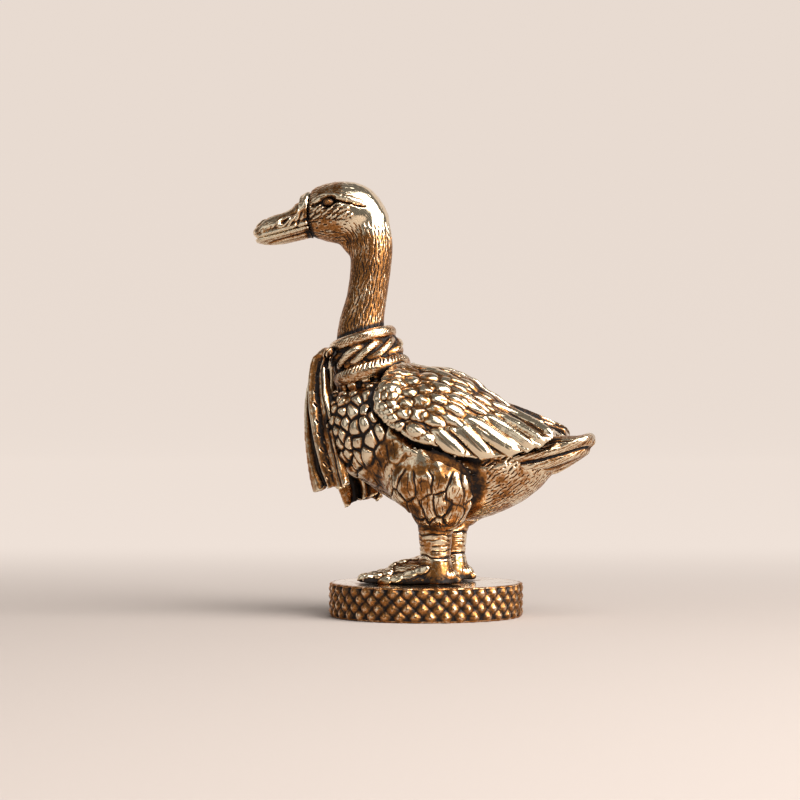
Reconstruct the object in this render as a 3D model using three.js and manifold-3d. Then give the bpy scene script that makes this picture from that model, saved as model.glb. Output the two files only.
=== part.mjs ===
// A small cast brass goose in a knitted scarf, standing on a round base with a knurled rim.
// Millimetres, +Z up. The origin is the centre of the base's underside and the goose faces -X.
import * as THREE from "three";
import { LoftGeometry } from "three/addons/geometries/LoftGeometry.js";
import { mergeVertices } from "three/addons/utils/BufferGeometryUtils.js";
import Module from "manifold-3d";

const wasm = await Module();
wasm.setup();

// The film of solder between two pieces, and the clearance round a pin in its hole
const SOLDER_GAP = 0.1;
const PIN_CLEARANCE = 0.05;

// Base: a disc with rows of raised diamonds round its rim
const BASE_DIAMETER = 20;
const BASE_THICKNESS = 3.5;
const RIM_LIP = 0.18;
const STUD_HEIGHT = 0.42;
const STUD_COUNT = 39;
const STUD_ROWS = 4;

// Legs: the gap between the base and the belly, the spacing of the two shanks, and the webbed feet
const LEG_LENGTH = 5.7;
const LEG_SETBACK = 1.8;
const STANCE = 7;
const SHANK_WIDTH = 2.9;
const SHANK_DEPTH = 3.3;
const FOOT_LENGTH = 8;
const FOOT_SPREAD = 4;
const TOE_WIDTH = 1.3;
const INSTEP_HEIGHT = 2.4;
const HIND_TOE_LENGTH = 2.6;
const WEB_THICKNESS = 0.8;
const THIGH_HEIGHT = 9.8;
const THIGH_LENGTH = 9.4;
const THIGH_WIDTH = 5;
const HIP_SPREAD = 9.7;

// Pins that hold the feet to the base
const PIN_DIAMETER = 1.2;
const PIN_REACH = 1.8;
const PIN_RECESS = 0.15;

// Body
const BODY_LENGTH = 24.7;
const BODY_HEIGHT = 16.2;
const BODY_WIDTH = 13.4;
const BREAST_OVERHANG = 10.4;
const BREAST_FEATHER = 2.9;
const BREAST_RELIEF = 0.24;

// Wings: shells that lie along the body and stand free over the tail
const WING_THICKNESS = 0.95;
const BACK_STRIP = 2.4;
const WING_TIP_GAP = 6;
const FEATHER_WIDTH = 1.2;
const FEATHER_RELIEF = 0.5;

// Tail
const TAIL_LENGTH = 6.8;
const TAIL_WIDTH = 6;
const TAIL_THICKNESS = 4.6;
const TAIL_LIFT = 1.1;

// Neck and head
const NECK_HEIGHT = 17.55;
const NECK_DIAMETER = 4.15;
const NECK_LEAN = 1.1;
const SPIGOT_LENGTH = 3.4;
const HEAD_LENGTH = 8.3;
const HEAD_HEIGHT = 6.55;
const HEAD_WIDTH = 5.5;

// Bill, in two halves that meet along the mouth
const BILL_LENGTH = 6.1;
const BILL_HEIGHT = 4.9;
const BILL_WIDTH = 3.3;
const MOUTH_SLOPE = 13.5;
const MOUTH_HEIGHT = 1.05;

// Eyes
const EYE_LENGTH = 1.15;
const EYE_HEIGHT = 0.85;
const EYE_DEPTH = 0.9;
const EYE_BULGE = 0.28;

// Scarf: a band with a rolled edge above and below a thick cable, and two hanging ends
const SCARF_WIDTH = 4.5;
const SCARF_THICKNESS = 1;
const SCARF_FLARE = 0.4;
const SCARF_TILT = 17;
const END_WIDTH = 4.8;
const END_THICKNESS = 1;
const LEFT_END_LENGTH = 14;
const RIGHT_END_LENGTH = 14.2;
const END_RIB_WIDTH = 1.1;
const END_RIB_RELIEF = 0.3;

// How finely round forms are divided
const SIDES = 20;
const SMALL_SIDES = 10;
const DOME_SIDES = 8;
const BREAST_RINGS = 4;
const SCARF_SEGMENTS = 28;
const RIB_STEPS = 5;
const RINGS_PER_STATION = 2;

const BRASS = { color: 0xb48a44, roughness: 0.32, metalness: 1 };
const SCARF_BRASS = { color: 0xa67c3a, roughness: 0.36, metalness: 1 };
const BASE_BRASS = { color: 0xbd9048, roughness: 0.28, metalness: 1 };
const DARK_BRASS = { color: 0x4a3316, roughness: 0.4, metalness: 1 };

const SIDEWAYS = new THREE.Vector3(0, 1, 0);
const FORWARD = new THREE.Vector3(-1, 0, 0);

// Places that several pieces share
const bellyZ = BASE_THICKNESS + LEG_LENGTH;
const bodyPoint = (along, up) => [along * BODY_LENGTH - BREAST_OVERHANG, bellyZ + up * BODY_HEIGHT];
const [neckRootX, neckRootZ] = bodyPoint(0.17, 0.91);
const neckPoint = (lean, up) => [neckRootX + lean * NECK_LEAN, neckRootZ + up * NECK_HEIGHT];
const [headX, headZ] = neckPoint(-0.95, 1);
const headFrontX = headX - 0.6 * HEAD_LENGTH;
const billBottomZ = headZ - 0.41 * HEAD_HEIGHT;
const [scarfX, scarfZ] = neckPoint(-0.02, 0.165);
const scarfInner = 0.62 * NECK_DIAMETER;
const throatX = scarfX - scarfInner - SCARF_THICKNESS;

// Turns a closed geometry into a solid that can be joined and cut.
function solid(geometry) {
  const bare = new THREE.BufferGeometry();
  bare.setAttribute("position", geometry.attributes.position);
  bare.setIndex(geometry.index);
  const merged = mergeVertices(bare, 1e-4);
  const vertProperties = new Float32Array(merged.attributes.position.array);
  const triVerts = new Uint32Array(merged.index.array);
  return new wasm.Manifold(new wasm.Mesh({ numProp: 3, vertProperties, triVerts }));
}

// Turns a solid back into a geometry, keeping only its largest piece.
function geometryOf(shape) {
  const pieces = shape.decompose().sort((a, b) => b.volume() - a.volume());
  const mesh = pieces[0].getMesh();
  const geometry = new THREE.BufferGeometry();
  geometry.setAttribute("position", new THREE.BufferAttribute(mesh.vertProperties, 3));
  geometry.setIndex(new THREE.BufferAttribute(mesh.triVerts, 1));
  geometry.computeVertexNormals();
  return geometry;
}

// Skins a smooth form through stations: each has a centre, half its width and half its depth.
// Grow makes the same form larger all round, to cut a seat for it in a neighbour.
function loft(stations, { grow = 0, sides = SIDES, widthWays = SIDEWAYS } = {}) {
  const centres = new THREE.CatmullRomCurve3(stations.map((s) => new THREE.Vector3(...s.at)));
  const halves = new THREE.CatmullRomCurve3(stations.map((s) => new THREE.Vector3(s.half[0], s.half[1], 0)));
  const count = (stations.length - 1) * RINGS_PER_STATION;
  const sections = [];
  for (let ring = 0; ring <= count; ring++) {
    const along = centres.getTangent(ring / count);
    const deep = new THREE.Vector3().crossVectors(along, widthWays).normalize();
    const across = new THREE.Vector3().crossVectors(deep, along);
    const end = ring === 0 ? -1 : ring === count ? 1 : 0;
    const centre = centres.getPoint(ring / count).addScaledVector(along, end * grow);
    const half = halves.getPoint(ring / count);
    const section = [];
    for (let side = 0; side < sides; side++) {
      const angle = (2 * Math.PI * side) / sides;
      const point = centre.clone();
      point.addScaledVector(across, Math.cos(angle) * (half.x + grow));
      point.addScaledVector(deep, Math.sin(angle) * (half.y + grow));
      section.push(point);
    }
    sections.push(section);
  }
  return solid(new LoftGeometry(sections, { capStart: true, capEnd: true }));
}

// A slab whose outline is drawn in the side view, reaching from the middle plane to the left (-Y).
function sidePrism(outline, reach) {
  const shape = new THREE.Shape(outline.map(([x, z]) => new THREE.Vector2(x, z)));
  const slab = new THREE.ExtrudeGeometry(shape, { depth: reach, bevelEnabled: false });
  return solid(slab.rotateX(Math.PI / 2));
}

// A slab whose outline is drawn in the plan view, standing on the ground.
function planPrism(outline, height) {
  const shape = new THREE.Shape(outline.map(([x, y]) => new THREE.Vector2(x, y)));
  return solid(new THREE.ExtrudeGeometry(shape, { depth: height, bevelEnabled: false }));
}

// The points of a smooth line through a few chosen ones.
function smoothLine(points, steps) {
  const curve = new THREE.SplineCurve(points.map(([x, y]) => new THREE.Vector2(x, y)));
  return curve.getPoints(steps).map((p) => [p.x, p.y]);
}

// Body: from the round breast to the tenon that carries the tail
function bodyForm(grow = 0) {
  const station = (along, up, halfHeight, halfWidth) => {
    const [x, z] = bodyPoint(along, up);
    return { at: [x, 0, z], half: [halfWidth * BODY_WIDTH, halfHeight * BODY_HEIGHT] };
  };
  return loft([
    station(0, 0.675, 0.05, 0.06),
    station(0.02, 0.675, 0.145, 0.17),
    station(0.065, 0.675, 0.225, 0.27),
    station(0.14, 0.66, 0.3, 0.36),
    station(0.24, 0.625, 0.365, 0.43),
    station(0.355, 0.565, 0.418, 0.482),
    station(0.48, 0.51, 0.445, 0.5),
    station(0.585, 0.46, 0.44, 0.478),
    station(0.7, 0.437, 0.375, 0.415),
    station(0.81, 0.44, 0.28, 0.31),
    station(0.92, 0.477, 0.165, 0.2),
    station(1, 0.505, 0.09, 0.13),
  ], { grow });
}

// Breast feathers: low oval domes in rings round the breast's foremost point, each ring half a step on
// from the last. They stop short of the scarf, the wings and the legs.
function breastFeathers(grow = 0) {
  const face = new THREE.Mesh(geometryOf(bodyForm()));
  const caster = new THREE.Raycaster();
  const [middleX, middleZ] = bodyPoint(0.26, 0.62);
  const middle = new THREE.Vector3(middleX, 0, middleZ);
  const radius = 0.26 * BODY_LENGTH;
  const isBare = ({ x, z }) => {
    const along = (x + BREAST_OVERHANG) / BODY_LENGTH;
    const up = (z - bellyZ) / BODY_HEIGHT;
    return along < 0.3 && along < 0.88 - 0.9 * up && up > 0.27 && up < 0.9;
  };
  const domes = [];
  for (let ring = 1; ring <= BREAST_RINGS; ring++) {
    const polar = (ring * BREAST_FEATHER) / radius;
    const count = Math.round((2 * Math.PI * radius * Math.sin(polar)) / BREAST_FEATHER);
    for (let i = 0; i < count; i++) {
      const turn = (2 * Math.PI * (i + 0.5 * (ring % 2))) / count;
      const outward = new THREE.Vector3(-1, 0, 0).applyAxisAngle(SIDEWAYS, polar);
      outward.applyAxisAngle(FORWARD, turn);
      const start = middle.clone().addScaledVector(outward, BODY_LENGTH);
      caster.set(start, outward.clone().negate());
      const { point, face: facet } = caster.intersectObject(face)[0];
      if (isBare(point)) {
        domes.push(featherDome(point, facet.normal, grow));
      }
    }
  }
  return domes;
}

// One breast feather: half sunk in the body, and lying square to the face there
function featherDome(point, normal, grow) {
  const dome = new THREE.SphereGeometry(1, DOME_SIDES, DOME_SIDES / 2);
  const half = 0.5 * BREAST_FEATHER;
  dome.rotateX(Math.PI / 2);
  dome.scale(0.88 * half + grow, 0.96 * half + grow, BREAST_RELIEF + grow);
  const turn = new THREE.Quaternion().setFromUnitVectors(new THREE.Vector3(0, 0, 1), normal);
  dome.applyQuaternion(turn);
  dome.translate(...point.toArray());
  return solid(dome);
}

// The body's skin with its breast feathers
function featheredBody(grow = 0) {
  return breastFeathers(grow).reduce((whole, dome) => whole.add(dome), bodyForm(grow));
}

// Neck and head: one casting whose lower end is a spigot in the body
function neckForm(grow = 0) {
  const station = (lean, up, radius) => {
    const [x, z] = neckPoint(lean, up);
    return { at: [x, 0, z], half: [radius * NECK_DIAMETER, radius * NECK_DIAMETER] };
  };
  const spigotEnd = -SPIGOT_LENGTH / NECK_HEIGHT;
  return loft([
    station(0.3, spigotEnd, 0.5),
    station(0.2, spigotEnd / 2, 0.62),
    station(0.05, 0.02, 0.72),
    station(-0.3, 0.14, 0.68),
    station(-0.62, 0.25, 0.625),
    station(-0.55, 0.365, 0.56),
    station(-0.12, 0.49, 0.503),
    station(0.15, 0.6, 0.5),
    station(0.33, 0.7, 0.513),
    station(0.34, 0.8, 0.545),
    station(0.1, 0.89, 0.56),
    station(-0.35, 0.97, 0.54),
  ], { grow });
}

function headForm(grow = 0) {
  const station = (forward, up, halfHeight, halfWidth) => ({
    at: [headX + forward * HEAD_LENGTH, 0, headZ + up * HEAD_HEIGHT],
    half: [halfWidth * HEAD_WIDTH, halfHeight * HEAD_HEIGHT],
  });
  return loft([
    station(-0.6, 0.01, 0.33, 0.28),
    station(-0.57, 0.01, 0.385, 0.325),
    station(-0.44, 0.02, 0.45, 0.42),
    station(-0.27, 0.02, 0.495, 0.485),
    station(-0.09, 0, 0.505, 0.5),
    station(0.07, -0.05, 0.45, 0.47),
    station(0.22, -0.12, 0.31, 0.38),
    station(0.34, -0.19, 0.16, 0.23),
    station(0.385, -0.22, 0.05, 0.08),
  ], { grow });
}

// Bill: widest and highest at the head, with a raised knob there, narrowing to a rounded nail
function billForm() {
  const station = (forward, bottom, top, halfWidth) => ({
    at: [headFrontX - forward * BILL_LENGTH, 0, billBottomZ + ((bottom + top) / 2) * BILL_HEIGHT],
    half: [halfWidth * BILL_WIDTH, ((top - bottom) / 2) * BILL_HEIGHT],
  });
  return loft([
    station(1, 0.11, 0.21, 0.12),
    station(0.93, 0.01, 0.33, 0.27),
    station(0.8, -0.1, 0.45, 0.375),
    station(0.61, -0.1, 0.55, 0.42),
    station(0.41, -0.06, 0.67, 0.44),
    station(0.23, -0.02, 0.83, 0.47),
    station(0.09, 0.01, 0.98, 0.49),
    station(-0.15, 0.05, 1, 0.49),
  ]);
}

// One half of the bill: what lies above or below the sloping mouth line.
function billHalf(above) {
  const reach = 2 * BILL_LENGTH;
  const slab = new THREE.BoxGeometry(2 * reach, reach, reach);
  slab.translate(0, 0, (above ? 1 : -1) * (reach / 2 + SOLDER_GAP / 2));
  slab.rotateY(THREE.MathUtils.degToRad(-MOUTH_SLOPE));
  slab.translate(headFrontX - BILL_LENGTH / 2, 0, billBottomZ + MOUTH_HEIGHT / 2 + 0.05 * BILL_HEIGHT);
  return billForm().intersect(solid(slab)).subtract(headForm(SOLDER_GAP));
}

// A flattened bead on the left side of the head. It sits in a socket of its own shape.
function eyeForm(grow = 0) {
  const bead = new THREE.SphereGeometry(1, SMALL_SIDES, SMALL_SIDES / 2);
  bead.scale(EYE_LENGTH / 2 + grow, EYE_DEPTH / 2 + grow, EYE_HEIGHT / 2 + grow);
  const cheek = 0.46 * HEAD_WIDTH;
  const y = EYE_DEPTH / 2 - EYE_BULGE - cheek;
  bead.translate(headX - 0.3 * HEAD_LENGTH, y, headZ + 0.16 * HEAD_HEIGHT);
  return solid(bead);
}

// Wing: a shell over the body, trimmed to the wing's outline in the side view and along the back
function wingShell(grow) {
  const station = (along, up, halfHeight, halfWidth) => {
    const [x, z] = bodyPoint(along, up);
    return { at: [x, 0, z], half: [halfWidth * BODY_WIDTH + grow, halfHeight * BODY_HEIGHT + grow] };
  };
  return loft([
    station(0.2, 0.63, 0.34, 0.395),
    station(0.26, 0.62, 0.375, 0.44),
    station(0.36, 0.565, 0.42, 0.482),
    station(0.48, 0.51, 0.447, 0.5),
    station(0.59, 0.465, 0.425, 0.485),
    station(0.7, 0.455, 0.345, 0.435),
    station(0.81, 0.47, 0.225, 0.388),
    station(0.92, 0.505, 0.115, 0.35),
    station(1.02, 0.53, 0.045, 0.31),
  ]);
}

// Long feathers: root and tip as shares of the body's length and height, and how wide each is
const longFeathers = [
  { root: [0.405, 0.642], tip: [0.526, 0.537], width: 0.9 },
  { root: [0.518, 0.623], tip: [0.648, 0.451], width: 1 },
  { root: [0.607, 0.66], tip: [0.745, 0.451], width: 1.05 },
  { root: [0.648, 0.691], tip: [0.85, 0.481], width: 1.1 },
  { root: [0.688, 0.728], tip: [0.915, 0.512], width: 0.8 },
  { root: [0.745, 0.722], tip: [0.96, 0.543], width: 0.75 },
  { root: [0.729, 0.772], tip: [0.992, 0.58], width: 0.8 },
];

// One long feather: a flat rounded ridge that lies on the wing's outer face
function featherForm({ root, tip, width }, face) {
  const caster = new THREE.Raycaster();
  const onFace = (share) => {
    const along = THREE.MathUtils.lerp(root[0], tip[0], share);
    const up = THREE.MathUtils.lerp(root[1], tip[1], share);
    const [x, z] = bodyPoint(along, up);
    caster.set(new THREE.Vector3(x, -BODY_WIDTH, z), SIDEWAYS);
    return caster.intersectObject(face)[0];
  };
  const lengthWays = onFace(1).point.sub(onFace(0).point);
  const widthWays = lengthWays.cross(onFace(0.5).face.normal).normalize();
  const station = (share, halfWidth, proud) => ({
    at: onFace(share).point.toArray(),
    half: [halfWidth * width * FEATHER_WIDTH, proud * FEATHER_RELIEF],
  });
  return loft([
    station(0, 0.25, 0.2),
    station(0.2, 0.45, 0.7),
    station(0.6, 0.5, 1),
    station(0.9, 0.4, 0.95),
    station(1, 0.15, 0.4),
  ], { sides: SMALL_SIDES, widthWays });
}

function featheredShell() {
  const shell = wingShell(WING_THICKNESS);
  const face = new THREE.Mesh(geometryOf(shell));
  return longFeathers.reduce((whole, feather) => whole.add(featherForm(feather, face)), shell);
}

// The wing's outline in the side view, as a slab. Grow lowers its lower edge.
function wingOutline(grow = 0) {
  const lowerEdge = smoothLine([
    bodyPoint(0.245, 0.87),
    bodyPoint(0.235, 0.78),
    bodyPoint(0.285, 0.695),
    bodyPoint(0.43, 0.565),
    bodyPoint(0.58, 0.49),
    bodyPoint(0.69, 0.44),
    bodyPoint(0.8, 0.447),
    bodyPoint(0.93, 0.51),
    bodyPoint(0.995, 0.57),
  ], 24).map(([x, z]) => [x, z - grow]);
  const outline = [...lowerEdge, bodyPoint(0.985, 0.64), bodyPoint(0.75, 1.1), bodyPoint(0.32, 1.15)];
  return sidePrism(outline, BODY_WIDTH + WING_THICKNESS);
}

// The space that a wing takes up, down to the body
const wingSeat = (grow) => wingShell(WING_THICKNESS + grow).intersect(wingOutline(grow));

function wingForm() {
  const backEdge = smoothLine([
    [bodyPoint(0.2, 0)[0], -BACK_STRIP],
    [bodyPoint(0.45, 0)[0], -BACK_STRIP / 2],
    [bodyPoint(0.68, 0)[0], -BACK_STRIP / 3],
    [bodyPoint(1.03, 0)[0], -WING_TIP_GAP / 2],
  ], 12);
  const farOut = -BODY_WIDTH - WING_THICKNESS;
  const plan = [...backEdge, [bodyPoint(1.03, 0)[0], farOut], [bodyPoint(0.2, 0)[0], farOut]];
  return featheredShell()
    .intersect(wingOutline())
    .subtract(wingShell(0))
    .intersect(planPrism(plan.reverse(), bellyZ + 2 * BODY_HEIGHT))
    .subtract(bodyForm(SOLDER_GAP))
    .subtract(neckForm(SOLDER_GAP))
    .subtract(scarfForm(SOLDER_GAP));
}

// Tail: a flat upturned fan that sockets over the body's rear end
function tailForm() {
  const [rootX, rootZ] = bodyPoint(0.85, 0.45);
  const station = (along, up, halfHeight, halfWidth) => ({
    at: [rootX + along * TAIL_LENGTH, 0, rootZ + up * TAIL_LIFT],
    half: [halfWidth * TAIL_WIDTH, halfHeight * TAIL_THICKNESS],
  });
  return loft([
    station(0, 0.25, 0.46, 0.36),
    station(0.16, 0.4, 0.48, 0.44),
    station(0.4, 0.75, 0.37, 0.49),
    station(0.65, 1.1, 0.26, 0.5),
    station(0.86, 1.5, 0.17, 0.44),
    station(0.97, 1.82, 0.11, 0.3),
    station(1, 1.95, 0.06, 0.16),
  ]).subtract(bodyForm(SOLDER_GAP));
}

// Left leg: feathered thigh, shank, and a webbed foot with three toes and a hind toe
function legForm() {
  const hipY = HIP_SPREAD / 2;
  const shankY = STANCE / 2;
  const thigh = (up, back, outward, halfWidth, halfLength) => ({
    at: [
      LEG_SETBACK + back * THIGH_LENGTH,
      -THREE.MathUtils.lerp(shankY, hipY, outward),
      bellyZ + up * THIGH_HEIGHT,
    ],
    half: [halfWidth * THIGH_WIDTH, halfLength * THIGH_LENGTH],
  });
  const shank = (up, thickness) => ({
    at: [LEG_SETBACK, -shankY, BASE_THICKNESS + up * LEG_LENGTH],
    half: [thickness * SHANK_WIDTH, thickness * SHANK_DEPTH],
  });
  const limb = loft([
    shank(0, 0.62),
    shank(0.18, 0.58),
    shank(0.42, 0.5),
    shank(0.72, 0.5),
    thigh(0.03, 0.01, 0.1, 0.34, 0.2),
    thigh(0.15, 0.04, 0.45, 0.4, 0.3),
    thigh(0.32, 0.05, 0.8, 0.47, 0.43),
    thigh(0.52, 0.01, 1, 0.5, 0.5),
    thigh(0.75, -0.05, 1, 0.46, 0.42),
    thigh(0.93, -0.12, 0.95, 0.32, 0.24),
    thigh(1, -0.15, 0.9, 0.1, 0.06),
  ]);
  const below = new THREE.BoxGeometry(BASE_DIAMETER * 2, BASE_DIAMETER * 2, BASE_THICKNESS * 2);
  below.translate(0, 0, SOLDER_GAP);
  return footParts()
    .reduce((whole, part) => whole.add(part), limb)
    .subtract(bodyForm(SOLDER_GAP))
    .subtract(wingSeat(SOLDER_GAP))
    .subtract(solid(below))
    .subtract(solid(pinHole()));
}

// The toes run from the ankle to their tips on the base, with a web between them.
function footParts() {
  const shankY = -STANCE / 2;
  const toe = (forward, sideways) => {
    const tipX = LEG_SETBACK - forward;
    const tipY = shankY + sideways;
    const place = (share, height) => [
      THREE.MathUtils.lerp(LEG_SETBACK, tipX, share),
      THREE.MathUtils.lerp(shankY, tipY, share),
      BASE_THICKNESS + height,
    ];
    const station = (share, height, halfWidth, halfHeight) => ({
      at: place(share, height * INSTEP_HEIGHT),
      half: [halfWidth * TOE_WIDTH, halfHeight * INSTEP_HEIGHT],
    });
    return loft([
      station(0.1, 0.5, 0.5, 0.5),
      station(0.4, 0.34, 0.5, 0.36),
      station(0.75, 0.2, 0.48, 0.26),
      station(0.95, 0.12, 0.36, 0.2),
      station(1, 0.08, 0.14, 0.08),
    ], { sides: SMALL_SIDES });
  };
  const sideReach = FOOT_LENGTH * 0.88;
  const half = FOOT_SPREAD / 2;
  const web = [
    [LEG_SETBACK, shankY],
    [LEG_SETBACK - sideReach, shankY + half],
    [LEG_SETBACK - sideReach * 0.92, shankY + half / 2],
    [LEG_SETBACK - FOOT_LENGTH * 0.97, shankY],
    [LEG_SETBACK - sideReach * 0.92, shankY - half / 2],
    [LEG_SETBACK - sideReach, shankY - half],
  ];
  return [
    toe(FOOT_LENGTH, 0),
    toe(sideReach, half - TOE_WIDTH / 2),
    toe(sideReach, TOE_WIDTH / 2 - half),
    toe(-HIND_TOE_LENGTH, 0),
    planPrism(web, BASE_THICKNESS + WEB_THICKNESS),
  ];
}

// A round rod under the left foot, between two heights.
function footRod(radius, bottom, top) {
  const rod = new THREE.CylinderGeometry(radius, radius, top - bottom, SMALL_SIDES);
  rod.rotateX(Math.PI / 2);
  rod.translate(LEG_SETBACK, -STANCE / 2, (top + bottom) / 2);
  return rod;
}

// A pin through the base into the left foot, sunk a little below the underside
const pinTop = BASE_THICKNESS + PIN_REACH;
const holeRadius = PIN_DIAMETER / 2 + PIN_CLEARANCE;
const pinForm = () => solid(footRod(PIN_DIAMETER / 2, PIN_RECESS, pinTop));
const pinHole = () => footRod(holeRadius, -BASE_THICKNESS, pinTop + PIN_CLEARANCE);

// Base: each raised diamond is a low pyramid, and the rows are staggered by half a diamond
function baseForm() {
  const columns = 2 * STUD_COUNT;
  const rootRadius = BASE_DIAMETER / 2 - STUD_HEIGHT;
  const rowHeight = (BASE_THICKNESS - 2 * RIM_LIP) / (STUD_ROWS + 1);
  const rings = [{ z: 0 }];
  for (let row = 0; row <= STUD_ROWS + 1; row++) {
    rings.push({ z: RIM_LIP + row * rowHeight, studs: row > 0 && row <= STUD_ROWS });
  }
  rings.push({ z: BASE_THICKNESS });
  const raised = (ring, column) => rings[ring].studs && (ring + column) % 2 === 0;
  const points = [];
  rings.forEach(({ z }, ring) => {
    for (let column = 0; column < columns; column++) {
      const radius = rootRadius + (raised(ring, column) ? STUD_HEIGHT : 0);
      const angle = (2 * Math.PI * column) / columns;
      points.push(radius * Math.cos(angle), radius * Math.sin(angle), z);
    }
  });
  const top = rings.length * columns;
  points.push(0, 0, 0, 0, 0, BASE_THICKNESS);
  const faces = [];
  for (let column = 0; column < columns; column++) {
    const next = (column + 1) % columns;
    faces.push(top, next, column);
    faces.push(top + 1, top - columns + column, top - columns + next);
    for (let ring = 0; ring + 1 < rings.length; ring++) {
      const [a, b] = [ring * columns + column, ring * columns + next];
      const [c, d] = [b + columns, a + columns];
      const even = (ring + column) % 2 === 0;
      faces.push(...(even ? [a, b, d, b, c, d] : [a, b, c, a, c, d]));
    }
  }
  const geometry = new THREE.BufferGeometry();
  geometry.setAttribute("position", new THREE.Float32BufferAttribute(points, 3));
  geometry.setIndex(faces);
  return solid(geometry).subtract(solid(pinHole())).subtract(solid(mirrored(pinHole())));
}

// The same geometry on the other side of the middle plane.
function mirrored(geometry) {
  const copy = geometry.clone().scale(1, -1, 1);
  const index = copy.index.array;
  for (let i = 0; i < index.length; i += 3) {
    [index[i], index[i + 1]] = [index[i + 1], index[i]];
  }
  return copy;
}

// Scarf band: a ring with three rolled ribs, tilted so that it sits lower at the throat
function scarfForm(grow = 0) {
  const half = SCARF_WIDTH / 2;
  const profile = [
    new THREE.Vector2(scarfInner - grow, half + grow),
    new THREE.Vector2(scarfInner - grow, -half - grow),
  ];
  const rib = (low, high, proud) => {
    for (let step = 1; step < RIB_STEPS; step++) {
      const angle = (Math.PI * step) / RIB_STEPS;
      const y = THREE.MathUtils.mapLinear(-Math.cos(angle), -1, 1, low, high);
      const flare = SCARF_FLARE * THREE.MathUtils.mapLinear(y, half, -half, 0, 1);
      const valley = scarfInner + 0.55 * SCARF_THICKNESS;
      profile.push(new THREE.Vector2(valley + flare + proud * SCARF_THICKNESS * Math.sin(angle) + grow, y));
    }
  };
  rib(-half - grow, -0.2 * SCARF_WIDTH, 0.4);
  rib(-0.2 * SCARF_WIDTH, 0.22 * SCARF_WIDTH, 0.6);
  rib(0.22 * SCARF_WIDTH, half + grow, 0.35);
  profile.push(profile[0].clone());
  const ring = new THREE.LatheGeometry(profile, SCARF_SEGMENTS);
  ring.rotateX(Math.PI / 2);
  ring.rotateY(THREE.MathUtils.degToRad(-SCARF_TILT));
  ring.translate(scarfX, 0, scarfZ);
  return solid(ring);
}

// A hanging end of the scarf: a strip with two lengthwise ribs that starts under the band and falls
// along the breast.
// Its path gives how far each place is behind the throat, out to the side and down the length.
function scarfEnd(side, topZ, length, path) {
  const half = (share) => [0.5 * END_WIDTH * share, 0.5 * END_THICKNESS];
  const shares = [0.5, 0.62, 0.78, 0.9, 0.97, 1];
  const stations = path.map(([back, out, down], i) => ({
    at: [throatX + back * END_THICKNESS, side * out * END_WIDTH, topZ - down * length],
    half: half(shares[i]),
  }));
  const widthWays = new THREE.Vector3(0.95, side * 0.31, 0);
  const outWays = new THREE.Vector3(-0.31, side * 0.95, 0);
  const rib = (top, bottom) => loft(stations.map(({ at, half: [width, depth] }, i) => {
    const across = THREE.MathUtils.lerp(top, bottom, path[i][2]);
    const centre = new THREE.Vector3(...at).addScaledVector(widthWays, across * width);
    centre.addScaledVector(outWays, depth * Math.sqrt(1 - across ** 2));
    return { at: centre.toArray(), half: [0.5 * END_RIB_WIDTH, END_RIB_RELIEF] };
  }), { sides: SMALL_SIDES, widthWays });
  return loft(stations, { sides: SMALL_SIDES, widthWays })
    .add(rib(-0.48, 0.13))
    .add(rib(0.62, 0.6))
    .subtract(scarfForm(SOLDER_GAP))
    .subtract(featheredBody(SOLDER_GAP))
    .subtract(neckForm(SOLDER_GAP));
}

function leftEndForm() {
  const topZ = scarfZ + 0.07 * SCARF_WIDTH;
  return scarfEnd(-1, topZ, LEFT_END_LENGTH, [
    [-0.6, 0.355, 0],
    [-1.05, 0.415, 0.2],
    [-1, 0.47, 0.42],
    [-0.7, 0.5, 0.63],
    [-0.15, 0.52, 0.84],
    [0.4, 0.54, 1],
  ]);
}

function rightEndForm() {
  const topZ = scarfZ - 0.18 * SCARF_WIDTH;
  return scarfEnd(1, topZ, RIGHT_END_LENGTH, [
    [-0.1, 0.335, 0],
    [-0.5, 0.415, 0.2],
    [-0.2, 0.5, 0.42],
    [0.5, 0.56, 0.63],
    [1.6, 0.6, 0.84],
    [2.6, 0.62, 1],
  ]);
}

const goose = new THREE.Group();

function piece(name, geometry, finish) {
  const mesh = new THREE.Mesh(geometry, new THREE.MeshStandardMaterial(finish));
  mesh.name = name;
  goose.add(mesh);
}

// A left piece and its mirror image on the right.
function pair(name, shape, finish) {
  const geometry = geometryOf(shape);
  piece(`left_${name}`, geometry, finish);
  piece(`right_${name}`, mirrored(geometry), finish);
}

const eyeSocket = geometryOf(eyeForm(PIN_CLEARANCE));
const eyeSockets = solid(eyeSocket).add(solid(mirrored(eyeSocket)));
const headAndNeck = neckForm().add(headForm()).subtract(eyeSockets);
const scarfBand = scarfForm().subtract(neckForm(SOLDER_GAP)).subtract(featheredBody(SOLDER_GAP));

piece("base_disc", geometryOf(baseForm()), BASE_BRASS);
piece("body", geometryOf(featheredBody().subtract(neckForm(SOLDER_GAP))), BRASS);
piece("head_and_neck", geometryOf(headAndNeck), BRASS);
piece("upper_bill", geometryOf(billHalf(true)), BRASS);
piece("lower_bill", geometryOf(billHalf(false)), BRASS);
piece("tail", geometryOf(tailForm()), BRASS);
piece("scarf_band", geometryOf(scarfBand), SCARF_BRASS);
piece("scarf_left_end", geometryOf(leftEndForm()), SCARF_BRASS);
piece("scarf_right_end", geometryOf(rightEndForm()), SCARF_BRASS);
pair("eye", eyeForm(), DARK_BRASS);
pair("wing", wingForm(), BRASS);
pair("leg", legForm(), BRASS);
pair("foot_pin", pinForm(), BASE_BRASS);

export default goose;
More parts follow.
